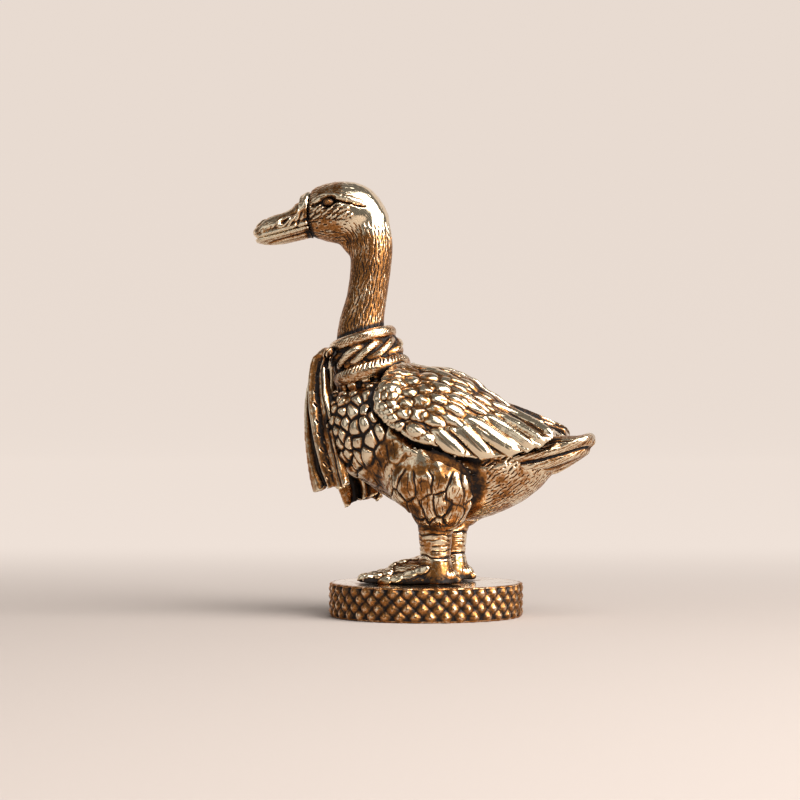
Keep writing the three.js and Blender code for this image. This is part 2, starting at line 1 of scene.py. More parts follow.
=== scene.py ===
"""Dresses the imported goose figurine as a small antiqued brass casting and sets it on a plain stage.

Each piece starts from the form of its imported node. The form is fused into an even skin, and the
feathers, knit and wrinkles are then pressed into that skin as real relief. Places and sizes on the
goose are in millimetres: it faces -X, its left side is towards -Y, and its base stands on Z = 0.
"""
import math

import bpy
import numpy as np
from bpy.props import FloatProperty, FloatVectorProperty, IntProperty, PointerProperty
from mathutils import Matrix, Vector
from mathutils.bvhtree import BVHTree
from mathutils.kdtree import KDTree


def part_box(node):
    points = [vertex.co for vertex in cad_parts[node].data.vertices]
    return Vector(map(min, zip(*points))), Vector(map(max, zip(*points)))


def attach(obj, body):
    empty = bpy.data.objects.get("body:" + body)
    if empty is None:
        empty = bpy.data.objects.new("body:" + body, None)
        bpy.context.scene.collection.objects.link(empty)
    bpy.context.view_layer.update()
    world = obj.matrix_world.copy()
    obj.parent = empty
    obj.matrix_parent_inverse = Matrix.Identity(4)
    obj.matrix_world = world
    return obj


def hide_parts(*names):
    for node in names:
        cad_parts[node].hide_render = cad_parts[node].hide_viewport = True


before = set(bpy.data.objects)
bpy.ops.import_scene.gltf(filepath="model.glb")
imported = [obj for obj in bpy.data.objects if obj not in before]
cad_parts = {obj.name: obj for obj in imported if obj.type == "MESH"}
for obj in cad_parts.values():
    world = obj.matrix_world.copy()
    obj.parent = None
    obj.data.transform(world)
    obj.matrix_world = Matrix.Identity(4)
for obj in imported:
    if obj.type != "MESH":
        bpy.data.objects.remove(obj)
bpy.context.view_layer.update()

bl_info = {
    "name": "Antiqued Brass Goose",
    "version": (1, 0, 0),
    "blender": (4, 5, 0),
    "location": "3D View > Sidebar > Goose",
    "description": "Dresses the packed goose figurine as an antiqued brass casting",
    "category": "Object",
}

# The pieces are worked in millimetres and made in metres
MM = 0.001

COARSE = 1.0

# About how much skin each of its points stands for, in square millimetres
POINT_AREA = 0.01

# How many places are tried for each one that is likely to fit, and how many more
TRIES = 6
SPARE_TRIES = 50

# A stamp leaves out points that turn further away from its own place than this cosine
SAME_WAY = 0.25

# Where sight lines start, beside the figurine and above it
SIDE_START = 30.0
TOP_START = 60.0

# Patina: what lies everywhere and the depth of a fine and of a broad hollow.
# Also the width of the patina and painted shade along a seam
EVEN_PATINA = 0.42
FINE_HOLLOW = 0.026
BROAD_HOLLOW = 0.085
SEAM_WIDTH = 0.7

# Directions: upwards, towards the tail, and the way that breast feathers hang
UP = np.array([0.0, 0.0, 1.0])
BACK = np.array([1.0, 0.0, 0.0])
DROOP = np.array([0.3, 0.0, -1.0])

# Nodes that come in pairs
WINGS = ("left_wing", "right_wing")
LEGS = ("left_leg", "right_leg")
EYES = ("left_eye", "right_eye")
PINS = ("left_foot_pin", "right_foot_pin")

# The middle line of head and neck in the side view, from the bill down to the breast
NECK_LINE = [(-12.4, 40.7), (-9.5, 41.4), (-7.2, 41.3), (-5.8, 39.4), (-5.75, 36.0),
             (-6.2, 32.5), (-6.75, 29.0), (-6.4, 25.0), (-5.9, 20.0)]

# Heights of the scarf's middle and of the chin, between which the neck shows
SCARF_LEVEL = 26.2
CHIN_LEVEL = 39.5

# Where the left eye sits, and from there its brow and its dark line in the side view
EYE_AT = np.array([-9.74, -2.36, 42.54])
BROW = [(-1.7, 0.34), (-0.5, 0.68), (1.0, 0.52), (3.0, 0.02)]
EYE_LINE = [(-2.0, -0.28), (-0.8, -0.04), (0.5, 0.12), (1.7, -0.06), (3.5, -0.46)]

# The line of the mouth in the side view, and what lies beside it on the upper bill
MOUTH_AT = np.array([-15.28, 39.57])
MOUTH_SLOPE = math.radians(13.5)
NOSTRIL = (-14.72, 40.84)
BILL_FOLD = [(-13.35, 41.6), (-13.8, 40.95), (-14.25, 40.35)]
BILL_WRINKLES = [(-15.6, 40.35), (-15.9, 40.1), (-16.4, 39.95)]

# The scarf band's ring, and the fold at the top of the right hanging end
SCARF_CENTRE = np.array([-6.22, 0.0, 26.84])
SCARF_TILT = math.radians(17)
END_FOLD = [(-8.2, 2.5, 27.3), (-9.4, 2.6, 27.05), (-10.5, 2.0, 27.0), (-11.1, 1.5, 26.3)]

# Middles of the lobes on the left thigh in the side view, and where their creases draw together
THIGH_LOBES = [
    (-2.6, 13.6), (-1.5, 14.9), (-0.2, 13.9), (1.3, 13.9), (3.1, 14.1),
    (4.6, 12.9), (6.0, 13.4), (-1.2, 11.9), (0.5, 11.4), (2.0, 11.3),
    (3.2, 11.6), (4.2, 10.4), (5.5, 11.0), (1.0, 9.6), (2.9, 9.4),
]
KNEE = np.array([2.4, -4.6, 6.0])

# Rings cut deeper than the other wrinkles of the shank: height and depth
SHANK_RINGS = [(6.4, 0.16), (8.6, 0.07)]

# The left ankle, how far the toes reach from it, and the knuckles along the foot's outer side
ANKLE = np.array([1.8, -3.5])
TOES = [(-8.0, 0.0), (-7.0, 1.35), (-7.0, -1.35), (2.4, 0.0)]
OUTER_KNUCKLES = [(-3.1, 3.85), (-1.75, 4.2), (-0.5, 4.55), (0.75, 5.0)]

# What fills out the left foot: its outer wall and the edge of its sole
FOOT_WALL = [(-4.7, -4.35, 3.8), (-2.5, -4.45, 3.85), (0.0, -4.35, 4.15), (2.6, -4.1, 4.4)]
FOOT_SOLE = [(-4.4, -4.55, 3.85), (-2.0, -4.85, 3.85), (0.5, -4.95, 3.9), (3.2, -4.55, 3.9)]

# The tail's rim on its right side, the layers of feathers below it, and the keel
TAIL_RIM = [(9.8, 3.9, 16.35), (12.5, 3.2, 16.8), (15.0, 2.2, 17.5), (16.5, 1.25, 18.0),
            (17.0, 0.3, 18.1)]
TAIL_LAYERS = [
    [(10.5, 3.5, 15.6), (13.0, 2.6, 15.9), (15.2, 1.7, 16.65), (16.8, 0.7, 17.3)],
    [(11.5, 1.7, 15.2), (13.5, 1.4, 15.6), (15.3, 0.9, 16.45), (16.9, 0.3, 17.3)],
]
TAIL_KEEL = [(11.5, 0.0, 14.8), (13.5, 0.0, 15.3), (15.4, 0.0, 16.4), (16.9, 0.0, 17.3)]
RIM_RADII = (0.45, 0.58, 0.64, 0.72, 0.72)
LAYER_RADII = (0.45, 0.62, 0.62, 0.5)

# The lower edge of the left wing in the side view
WING_LIP = [(-1.0, 18.8), (2.4, 17.9), (4.6, 16.85), (6.7, 16.4), (8.9, 16.6), (11.0, 17.0),
            (13.3, 17.7)]

# Rows of covert feathers on the left wing: upper end, lower end, half length and half width
COVERT_ROWS = [
    ((-0.3, 24.6), (-0.6, 20.3), 0.88, 0.74),
    ((1.2, 24.6), (0.7, 19.4), 1.10, 0.80),
    ((2.8, 24.0), (2.2, 19.7), 1.30, 0.70),
    ((4.7, 23.3), (3.9, 20.3), 1.50, 0.58),
    ((6.6, 22.7), (5.9, 21.2), 1.55, 0.48),
]

# The long feathers of the left wing in the side view, from root to tip
LONG_FEATHERS = [
    ((-0.4, 19.6), (2.6, 17.9)),
    ((2.4, 19.3), (5.6, 16.5)),
    ((4.6, 19.9), (8.0, 16.5)),
    ((5.6, 20.4), (10.6, 17.0)),
    ((6.6, 21.0), (12.2, 17.5)),
    ((8.0, 20.9), (13.3, 18.0)),
    ((7.6, 21.7), (14.1, 18.6)),
]

# How far a stud of the base's rim reaches, in steps round the rim and in rows
STUD_REACH = (0.47, 0.92)

# The rounding of the base's edges
EDGE_ROUND = 0.10

# How finely the base is divided: points round each stud, and rows below, round the rim and on top
STUD_POINTS = 14
UNDERSIDE_ROWS = 60
RIM_ROWS = 64
TOP_ROWS = 30

# The stage in metres: front and rear of the flat floor, the bend behind it, its top and width
FLOOR_FRONT = -0.9
FLOOR_REAR = 0.7
BACKDROP_BEND = 0.4
BACKDROP_TOP = 1.6
STAGE_HALF_WIDTH = 2.2

# The floor's colour fades into the even backdrop from here on, over this length
FADE_START = -0.01
FADE_LENGTH = 0.15

# Soft lamps in metres: right of the figurine, towards the camera, up, width and height
LAMP_TARGET = Vector((0.0, 0.0, 0.024))
SOFTBOXES = {
    "key": (0.11, 0.20, 0.30, 0.36, 0.32),
    "side": (0.27, 0.17, 0.16, 0.34, 0.40),
    "fill": (-0.42, 0.30, 0.20, 0.40, 0.40),
}


# Numbers over a surface

def smooth_step(x):
    """Eases from 0 to 1."""
    t = np.clip(x, 0.0, 1.0)
    return t * t * (3.0 - 2.0 * t)


def fade(values, start, end):
    """Eases from 0 at the start to 1 at the end, which may be the lower of the two."""
    return smooth_step((values - start) / (end - start))


def bell(x, width):
    """A rounded bump of height 1 at 0."""
    return np.exp(-(x / width) ** 2)


def lattice(cells, seed):
    """A steady random number from 0 to 1 for each whole-number cell."""
    mixed = (cells * np.array([127.1, 311.7, 74.7])).sum(axis=-1) + seed * 53.3
    return np.modf(np.abs(np.sin(mixed) * 43758.5453))[0]


def cloud(points, size, seed):
    """Smooth random values from 0 to 1 in space, with lumps of the given size."""
    place = points / size
    low = np.floor(place)
    ease = smooth_step(place - low)
    total = np.zeros(len(points))
    for corner in np.ndindex(2, 2, 2):
        step = np.array(corner)
        weight = np.prod(np.where(step == 1, ease, 1.0 - ease), axis=1)
        total += weight * lattice(low + step, seed)
    return total


def blotches(points, size, seed, large_size, large_seed):
    """Lumps of two sizes, with values about evenly above and below 0."""
    return cloud(points, size, seed) + 0.5 * cloud(points, large_size, large_seed) - 0.75


def unit(vector):
    """The vector at length 1."""
    return vector / np.linalg.norm(vector)


def curve_through(knots, count):
    """Evenly numbered points on a smooth curve through the knots."""
    knots = np.array(knots, float)
    padded = np.concatenate([[2 * knots[0] - knots[1]], knots, [2 * knots[-1] - knots[-2]]])
    points = []
    for place in np.linspace(0, len(knots) - 1, count):
        i = min(int(place), len(knots) - 2)
        t = place - i
        a, b, c, d = padded[i:i + 4]
        points.append(0.5 * (2 * b + (c - a) * t + (2 * a - 5 * b + 4 * c - d) * t ** 2
                             + (3 * b - a - 3 * c + d) * t ** 3))
    return np.array(points)


def on_side(knots, side):
    """Knots given for the right side, moved to the left side where the side is -1."""
    return [(along, side * out, up) for along, out, up in knots]


# Relief profiles: height over a spot whose length u and width v run from -1 to 1

def dome(u, v):
    """A round-topped pebble."""
    return np.sqrt(np.clip(1.0 - (u * u + v * v) ** 1.5, 0.0, 1.0))


def covert(u, v):
    """A pillowed feather with a round end that stands a little prouder than its root."""
    rim = 1.0 - (np.abs(u) ** 2.4 + np.abs(v) ** 2.2)
    return np.sqrt(np.clip(rim, 0.0, 1.0)) * (0.86 + 0.14 * u)


def flank(u, v):
    """Fills out both sides of a ridge, so that its back becomes flatter and broader."""
    along = np.clip(1.0 - u * u, 0.0, 1.0)
    return along * np.clip(1.0 - np.abs(v) ** 5, 0.0, 1.0) * (0.3 + 0.7 * v * v)


def cut(u, v):
    """A graver's cut, deepest in the middle."""
    return np.clip(1.0 - u * u, 0.0, 1.0) * np.clip(1.0 - v * v, 0.0, 1.0) ** 2


def ring(u, v):
    """An oval rim."""
    return bell(np.sqrt(u * u + v * v) - 0.72, 0.2)


# Marks on the skin: half length, half width, profile and height of a stamp

BREAST_HAIR = (0.5, 0.07, cut, -0.05)
BACK_SCALE = (0.95, 0.66, covert, 0.20)
EYE_SOCKET = (0.95, 0.72, cut, -0.40)
BROW_BEAD = (0.6, 0.34, dome, 0.17)
CHEEK_STIPPLE = (0.40, 0.14, dome, 0.16)
HEAD_HAIR = (0.30, 0.06, cut, -0.025)
NOSTRIL_RIM = (1.05, 0.58, ring, 0.16)
NOSTRIL_HOLE = (0.58, 0.36, cut, -0.70)
BILL_BEAD = (0.35, 0.15, dome, 0.17)
BILL_WRINKLE = (0.45, 0.12, cut, -0.14)
NAIL = (0.75, 0.62, dome, 0.10)
NAIL_EDGE = (1.0, 0.9, ring, -0.07)
UPPER_BILL_HAIR = (0.34, 0.06, cut, -0.04)
LOWER_BILL_HAIR = (0.5, 0.06, cut, -0.04)
FEATHER_BACK = (0.9, 0.80, flank, 0.48)
FEATHER_SHAFT = (0.45, 0.07, cut, -0.04)
TAIL_HAIR = (0.7, 0.075, cut, -0.05)
TOE_KNUCKLE = (0.70, 0.62, dome, 0.28)
OUTER_KNUCKLE = (0.86, 0.46, dome, 0.24)
WEB_HAIR = (0.4, 0.07, cut, -0.06)
LOWER_RIB_TICK = (0.45, 0.12, cut, -0.20)
UPPER_RIB_TICK = (0.40, 0.07, cut, -0.05)
SCARF_HAIR = (0.4, 0.06, cut, -0.035)


# The skin of a casting

class Skin:
    """A closed surface of even four-sided faces, in millimetres."""

    def __init__(self, points, faces):
        self.points = points
        self.faces = faces

    def gather(self, values):
        """Adds up the values of each face's corners at its points."""
        return np.bincount(self.faces.ravel(), np.repeat(values, 4), len(self.points))

    def normals(self):
        corners = self.points[self.faces]
        across = np.cross(corners[:, 2] - corners[:, 0], corners[:, 3] - corners[:, 1])
        total = np.stack([self.gather(across[:, axis]) for axis in range(3)], axis=1)
        return total / np.maximum(np.linalg.norm(total, axis=1, keepdims=True), 1e-12)

    def averaged(self, values, times, shares=(0.5,)):
        """The values after each point has moved towards its neighbours, some times over."""
        links = np.concatenate([self.faces[:, [i, (i + 1) % 4]] for i in range(4)])
        start, end = links.T
        size = len(values)
        count = np.maximum(np.bincount(start, minlength=size), 1)
        for _ in range(times):
            for share in shares:
                columns = [np.bincount(start, column[end], size) / count for column in values.T]
                values = values + share * (np.stack(columns, axis=1) - values)
        return values

    def relax(self, times):
        """Takes the facets out and keeps the size."""
        self.points = self.averaged(self.points, times, (0.5, -0.52))

    def hollows(self, times):
        """How far each point lies below its surroundings."""
        return ((self.averaged(self.points, times) - self.points) * self.normals()).sum(axis=1)

    def tree(self):
        return BVHTree.FromPolygons(self.points.tolist(), self.faces.tolist())


def arrays_of(mesh):
    """A mesh's points, and its faces when they all have the same number of corners."""
    points = np.empty(len(mesh.vertices) * 3)
    mesh.vertices.foreach_get("co", points)
    corners = np.empty(len(mesh.loops), int)
    mesh.loops.foreach_get("vertex_index", corners)
    return points.reshape(-1, 3), corners.reshape(len(mesh.polygons), -1)


def modified(points, faces, kind, **settings):
    """The points and faces after one of Blender's modifiers."""
    mesh = bpy.data.meshes.new("blank")
    mesh.from_pydata(points.tolist(), [], faces)
    holder = bpy.data.objects.new("blank", mesh)
    bpy.context.scene.collection.objects.link(holder)
    change = holder.modifiers.new(kind.title(), kind)
    for name, value in settings.items():
        setattr(change, name, value)
    shaped = holder.evaluated_get(bpy.context.evaluated_depsgraph_get())
    result = arrays_of(shaped.to_mesh())
    shaped.to_mesh_clear()
    bpy.data.objects.remove(holder)
    bpy.data.meshes.remove(mesh)
    return result


def joined(forms):
    """The points and faces of several forms in one list each."""
    points = np.concatenate([form_points for form_points, _ in forms])
    faces = []
    start = 0
    for form_points, form_faces in forms:
        faces += [[start + corner for corner in face] for face in form_faces]
        start += len(form_points)
    return points, faces


def cast(forms, grain, relax, levels=1):
    """Fuses closed forms into one skin: even faces of the grain size, smoothed and then divided."""
    even = modified(*joined(forms), "REMESH", mode="VOXEL", voxel_size=grain * COARSE)
    skin = Skin(*even)
    skin.relax(relax)
    faces = skin.faces.tolist()
    return Skin(*modified(skin.points, faces, "SUBSURF", levels=levels, render_levels=levels))


def node_form(name):
    """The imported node's form, in millimetres."""
    points, faces = arrays_of(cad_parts[name].data)
    return points / MM, faces.tolist()


def cast_node(name, grain, relax, levels=1):
    """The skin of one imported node."""
    return cast([node_form(name)], grain, relax, levels)


def node_box(name):
    """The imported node's lower and upper corner, in millimetres."""
    return [np.array(corner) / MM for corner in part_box(name)]


def grid_faces(rows, around, closed=False):
    """Faces between rings of points. A closed grid also joins its last ring to its first."""
    faces = []
    for row in range(rows if closed else rows - 1):
        here = row * around
        there = (row + 1) % rows * around
        for turn in range(around):
            after = (turn + 1) % around
            faces.append([here + turn, there + turn, there + after, here + after])
    return faces


def end_faces(count, around):
    """One face over the first ring of points and one over the last."""
    return [list(range(around)), list(range(count - around, count))[::-1]]


def blob_form(centre, halves, tilt=0.0, rounds=24):
    """A smooth egg, to fill out a form before it is cast. Tilt lifts its rear end."""
    rows = rounds // 2 - 1
    points = []
    for row in range(1, rows + 1):
        polar = math.pi * row / (rows + 1)
        for turn in range(rounds):
            angle = 2 * math.pi * turn / rounds
            x = halves[0] * math.sin(polar) * math.cos(angle)
            y = halves[1] * math.sin(polar) * math.sin(angle)
            z = halves[2] * math.cos(polar)
            along = x * math.cos(tilt) - z * math.sin(tilt)
            up = x * math.sin(tilt) + z * math.cos(tilt)
            points.append([centre[0] + along, centre[1] + y, centre[2] + up])
    return np.array(points), end_faces(len(points), rounds) + grid_faces(rows, rounds)


def tube_form(knots, radii, count=40, sides=16):
    """A round-ended tube along a smooth curve, to fill out a form before it is cast."""
    centres = curve_through(knots, count)
    sizes = np.interp(np.linspace(0, len(radii) - 1, count), np.arange(len(radii)), radii)
    tangents = np.gradient(centres, axis=0)

    # Round ends
    sizes[[0, -1]] *= 0.35
    sizes[[1, -2]] *= 0.8
    points = []
    for centre, size, tangent in zip(centres, sizes, tangents):
        sideways = unit(np.cross(tangent, UP))
        upward = np.cross(sideways, unit(tangent))
        for side in range(sides):
            angle = 2 * math.pi * side / sides
            points.append(centre + size * (math.cos(angle) * sideways + math.sin(angle) * upward))
    return np.array(points), end_faces(len(points), sides) + grid_faces(count, sides)


def mirrored(skin):
    """The same skin on the other side of the middle plane."""
    return Skin(skin.points * [1, -1, 1], skin.faces[:, ::-1])


# Relief on a skin

class Relief:
    """Heights over a skin, built up from stamps and pressed in at the end."""

    def __init__(self, skin):
        self.skin = skin
        self.normals = skin.normals()
        self.raised = np.zeros(len(skin.points))
        self.sunk = np.zeros(len(skin.points))
        self.lookup = KDTree(len(skin.points))
        for index, point in enumerate(skin.points):
            self.lookup.insert(point, index)
        self.lookup.balance()

    def add(self, heights):
        """Adds heights over the whole skin. Those below 0 sink it."""
        self.raised += np.maximum(heights, 0.0)
        self.sunk += np.minimum(heights, 0.0)

    def spot(self, at, forward, half_length, half_width):
        """The points round a place that face its way, with their places along and across it."""
        at = np.asarray(at)
        forward = np.asarray(forward, float)
        hits = self.lookup.find_range(at, 1.05 * max(half_length, half_width))
        index = np.array([hit[1] for hit in hits], int)
        outward = self.normals[self.lookup.find(at)[1]]
        index = index[self.normals[index] @ outward > SAME_WAY]
        along = unit(forward - outward * (forward @ outward) + 1e-9)
        across = np.cross(outward, along)
        offset = self.skin.points[index] - at
        return index, offset @ along / half_length, offset @ across / half_width

    def stamp(self, at, forward, half_length, half_width, profile, height):
        """Raises one spot, or sinks it with a negative height; overlaps keep the bolder stamp."""
        index, u, v = self.spot(at, forward, half_length, half_width)
        shape = height * profile(u, v)
        if height > 0:
            self.raised[index] = np.maximum(self.raised[index], shape)
        else:
            self.sunk[index] = np.minimum(self.sunk[index], shape)

    def strew(self, places, forward, half_length, half_width, profile, height):
        """The same stamp at each of the places."""
        for at in places:
            self.stamp(at, forward, half_length, half_width, profile, height)

    def scatter(self, where, spacing, seed):
        """Places on the skin inside the mask, at random but no closer than the spacing."""
        order = np.random.default_rng(seed).permutation(np.flatnonzero(where))
        spacing = np.broadcast_to(spacing, len(self.skin.points))
        room = 0.5 * (spacing[order].mean() if len(order) else 1.0) ** 2
        point_area = POINT_AREA * COARSE ** 2
        order = order[:int(TRIES * len(order) * point_area / room) + SPARE_TRIES]
        kept = np.empty((len(order), 3))
        count = 0
        for index in order:
            place = self.skin.points[index]
            gap = kept[:count] - place
            if count and (gap * gap).sum(axis=1).min() < spacing[index] ** 2:
                continue
            kept[count] = place
            count += 1
        return kept[:count]

    def cells(self, where, seeds, stretch, slope, gap, bend, reach):
        """Plates round the seeds, longer up and down by the stretch, with bent gaps between them.

        The slope is how far a plate's edge takes to rise. A plate ends at the reach from its seed,
        so a short reach makes round pebbles.
        """
        heights = np.zeros(len(self.skin.points))
        sway = np.stack([cloud(self.skin.points, 1.1, seed) - 0.5 for seed in (1, 2, 3)], axis=1)
        places = self.skin.points + bend * sway
        for block in np.array_split(np.flatnonzero(where), 12):
            offset = places[block][:, None, :] - seeds[None, :, :]
            offset[:, :, 2] /= stretch
            gaps = np.sort(np.sqrt((offset * offset).sum(axis=2)), axis=1)
            round_off = np.clip(1.0 - (gaps[:, 0] / reach[block]) ** 2, 0.0, 1.0)
            edge = smooth_step((gaps[:, 1] - gaps[:, 0] - gap) / slope)
            heights[block] = np.sqrt(edge * round_off)
        return heights

    def press(self):
        self.skin.points = self.skin.points + self.normals * (self.raised + self.sunk)[:, None]
        self.raised[:] = 0
        self.sunk[:] = 0
        self.normals = self.skin.normals()


def side_hit(tree, x, z, side=-1):
    """The point of a surface seen at a place of the side view."""
    hit = tree.ray_cast(Vector((x, side * SIDE_START, z)), Vector((0, -side, 0)))
    return None if hit[0] is None else np.array(hit[0])


def top_hit(tree, x, y):
    """The point of a surface seen from above."""
    hit = tree.ray_cast(Vector((x, y, TOP_START)), Vector((0, 0, -1)))
    return None if hit[0] is None else np.array(hit[0])


# Making the objects

def closeness(points, names, reach):
    """1 where points touch the named nodes, fading to 0 over the reach."""
    corners, faces = joined([node_form(name) for name in names])
    tree = BVHTree.FromPolygons(corners.tolist(), faces)
    near = np.zeros(len(points))
    for index, point in enumerate(points.tolist()):
        distance = tree.find_nearest(point, reach)[3]
        if distance is not None:
            near[index] = 1.0 - distance / reach
    return near


def patina_and_painted_light(skin, names, extra=0.0):
    """How much dark patina and painted light lies at each point.

    Patina is left in hollows and least on high places. Along the seams with nodes that aren't named
    it is joined by painted shade, and the extra brings each piece's painted shade and highlights.
    """
    fine = skin.hollows(6) / FINE_HOLLOW
    broad = skin.hollows(60) / BROAD_HOLLOW
    others = [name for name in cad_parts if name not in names]
    # Patina and painted shade along the seams with the other nodes
    seam = smooth_step(1.5 * closeness(skin.points, others, SEAM_WIDTH))
    return np.clip(EVEN_PATINA + 0.32 * fine + 0.36 * broad + 0.6 * seam + extra, 0.0, 1.0)


def make_piece(name, points, faces, patina, material, nodes):
    """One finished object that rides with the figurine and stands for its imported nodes."""
    mesh = bpy.data.meshes.new(name)
    mesh.from_pydata((points * MM).tolist(), [], faces)
    mesh.shade_smooth()
    # The patina values also carry painted shade and painted highlights
    layer = mesh.attributes.new("patina", "FLOAT", "POINT")
    layer.data.foreach_set("value", patina.astype(np.float32))
    mesh.materials.append(material)
    piece = bpy.data.objects.new(name, mesh)
    bpy.context.scene.collection.objects.link(piece)
    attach(piece, "root")
    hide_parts(*nodes)
    return piece


def make_cast(node, skin, patina, material):
    """The finished casting that stands for a node."""
    make_piece(f"{node}_cast", skin.points, skin.faces.tolist(), patina, material, [node])


def finish_skin(node, skin, material, beside=(), extra=0.0):
    """A node's casting; patina and painted shade keep out of its seams with the nodes beside it."""
    make_cast(node, skin, patina_and_painted_light(skin, [node, *beside], extra), material)


def finish_pair(name, skin, material, beside=(), extra=0.0):
    """A left casting and its mirror image."""
    patina = patina_and_painted_light(skin, [f"left_{name}", *beside], extra)
    make_cast(f"left_{name}", skin, patina, material)
    make_cast(f"right_{name}", mirrored(skin), patina, material)


# Shader building

def math_method(operation, swapped=False):
    """A method that joins a value to another by one Math node."""
    def method(self, other):
        first, second = (other, self) if swapped else (self, other)
        return self.shader.math(operation, first, second)
    return method


class Value:
    """A number socket of a shader. Arithmetic on it adds Math nodes."""

    def __init__(self, shader, socket):
        self.shader = shader
        self.socket = socket

    __add__ = math_method("ADD")
    __radd__ = math_method("ADD", swapped=True)
    __sub__ = math_method("SUBTRACT")
    __rsub__ = math_method("SUBTRACT", swapped=True)
    __mul__ = math_method("MULTIPLY")
    __rmul__ = math_method("MULTIPLY", swapped=True)
    __truediv__ = math_method("DIVIDE")


class Shader:
    """The node tree of one material."""

    def __init__(self, name):
        self.material = bpy.data.materials.new(name)
        self.material.use_nodes = True
        self.tree = self.material.node_tree
        self.tree.nodes.clear()

    def node(self, kind, settings=None, inputs=None):
        """Adds a node: its settings first, then the values or links of its sockets."""
        node = self.tree.nodes.new(kind)
        for name, value in (settings or {}).items():
            setattr(node, name, value)
        for name, value in (inputs or {}).items():
            if isinstance(value, Value):
                self.tree.links.new(value.socket, node.inputs[name])
            else:
                node.inputs[name].default_value = value
        return node

    def out(self, node, name=0):
        return Value(self, node.outputs[name])

    def math(self, operation, left, right, clamp=False):
        settings = {"operation": operation, "use_clamp": clamp}
        return self.out(self.node("ShaderNodeMath", settings, {0: left, 1: right}))

    def clamped(self, value):
        return self.math("ADD", value, 0.0, clamp=True)

    def mix(self, factor, first, second):
        """A colour between two."""
        settings = {"data_type": "RGBA"}
        return self.out(self.node("ShaderNodeMix", settings, {0: factor, 6: first, 7: second}), 2)

    def noise(self, scale, detail=4.0, roughness=0.55, stretch=(1.0, 1.0, 1.0)):
        """Cloudy numbers fixed to the object, with lumps of 1 / scale metres."""
        place = self.out(self.node("ShaderNodeTexCoord"), "Object")
        sized = self.out(self.node("ShaderNodeMapping", None, {"Vector": place, "Scale": stretch}))
        inputs = {"Vector": sized, "Scale": scale, "Detail": detail, "Roughness": roughness}
        return self.out(self.node("ShaderNodeTexNoise", None, inputs), "Fac")

    def ramp(self, value, stops):
        """A colour that runs through stops, each a place and a colour."""
        node = self.node("ShaderNodeValToRGB", None, {"Fac": value})
        elements = node.color_ramp.elements
        while len(elements) < len(stops):
            elements.new(1.0)
        for element, (place, shade) in zip(elements, stops):
            element.position = place
            element.color = opaque(shade)
        return self.out(node, "Color")

    def finish(self, inputs):
        surface = self.node("ShaderNodeBsdfPrincipled", None, inputs)
        self.node("ShaderNodeOutputMaterial", None, {"Surface": self.out(surface)})
        return self.material


def opaque(shade):
    return (*shade, 1.0)


def antiqued_brass(name, finish, shine=0.0, age=0.0, grain=1.0):
    """Brass rubbed bright on its high places, with brown patina left in the hollows."""
    shader = Shader(name)
    # The patina attribute holds patina, and also painted shade and painted highlights
    attribute = shader.node("ShaderNodeAttribute", {"attribute_name": "patina"})
    hollow = shader.out(attribute, "Fac")
    blotch = shader.noise(420.0)
    speck = shader.noise(3600.0, detail=3.0)
    worn = shader.clamped(1.15 * hollow - 0.05 + age + 0.7 * (blotch - 0.5) + 0.9 * (speck - 0.5))
    scratch = shader.noise(5200.0, detail=2.0, stretch=(1.0, 1.0, 0.25))
    pits = shader.noise(2600.0, detail=5.0, roughness=0.6)
    height = 0.6 * pits + 0.4 * scratch
    uneven = {"Strength": 0.14 * grain, "Distance": 0.00006, "Height": height}
    bump = shader.node("ShaderNodeBump", None, uneven)
    stops = [(0.06, finish.bright), (0.34, finish.body), (0.64, finish.brown), (0.88, finish.dark)]
    return shader.finish({
        "Base Color": shader.ramp(worn, stops),
        "Roughness": shader.clamped(0.15 - shine + 0.34 * worn + 0.10 * (scratch - 0.5)),
        "Metallic": shader.clamped(1.15 - 0.55 * worn * worn),
        "Coat Weight": shader.clamped(1.1 - 3.0 * worn),
        "Coat IOR": 2.0,
        "Coat Roughness": 0.12,
        "Normal": shader.out(bump),
    })


def stage_finish(name, floor, distance, into):
    """A matt pale sheet near the figurine that fades to an even pale tone far behind it."""
    shader = Shader(name)
    path = shader.node("ShaderNodeLightPath")
    seen = (shader.out(path, "Is Camera Ray") + shader.out(path, "Is Glossy Ray")
            + shader.out(path, "Is Transmission Ray"))
    place = shader.out(shader.node("ShaderNodeTexCoord"), "Object")
    product = {"operation": "DOT_PRODUCT"}
    depth = shader.out(shader.node("ShaderNodeVectorMath", product, {0: place, 1: into}), "Value")
    away = shader.clamped((depth - FADE_START) / FADE_LENGTH)
    glow = shader.clamped(seen * away * away * (3 - 2 * away))
    black = (0.0, 0.0, 0.0, 1.0)
    return shader.finish({
        "Base Color": shader.mix(glow, opaque(floor), black),
        "Emission Color": shader.mix(glow, black, opaque(distance)),
        "Emission Strength": 1.0,
        "Roughness": 0.85,
    })


# Body

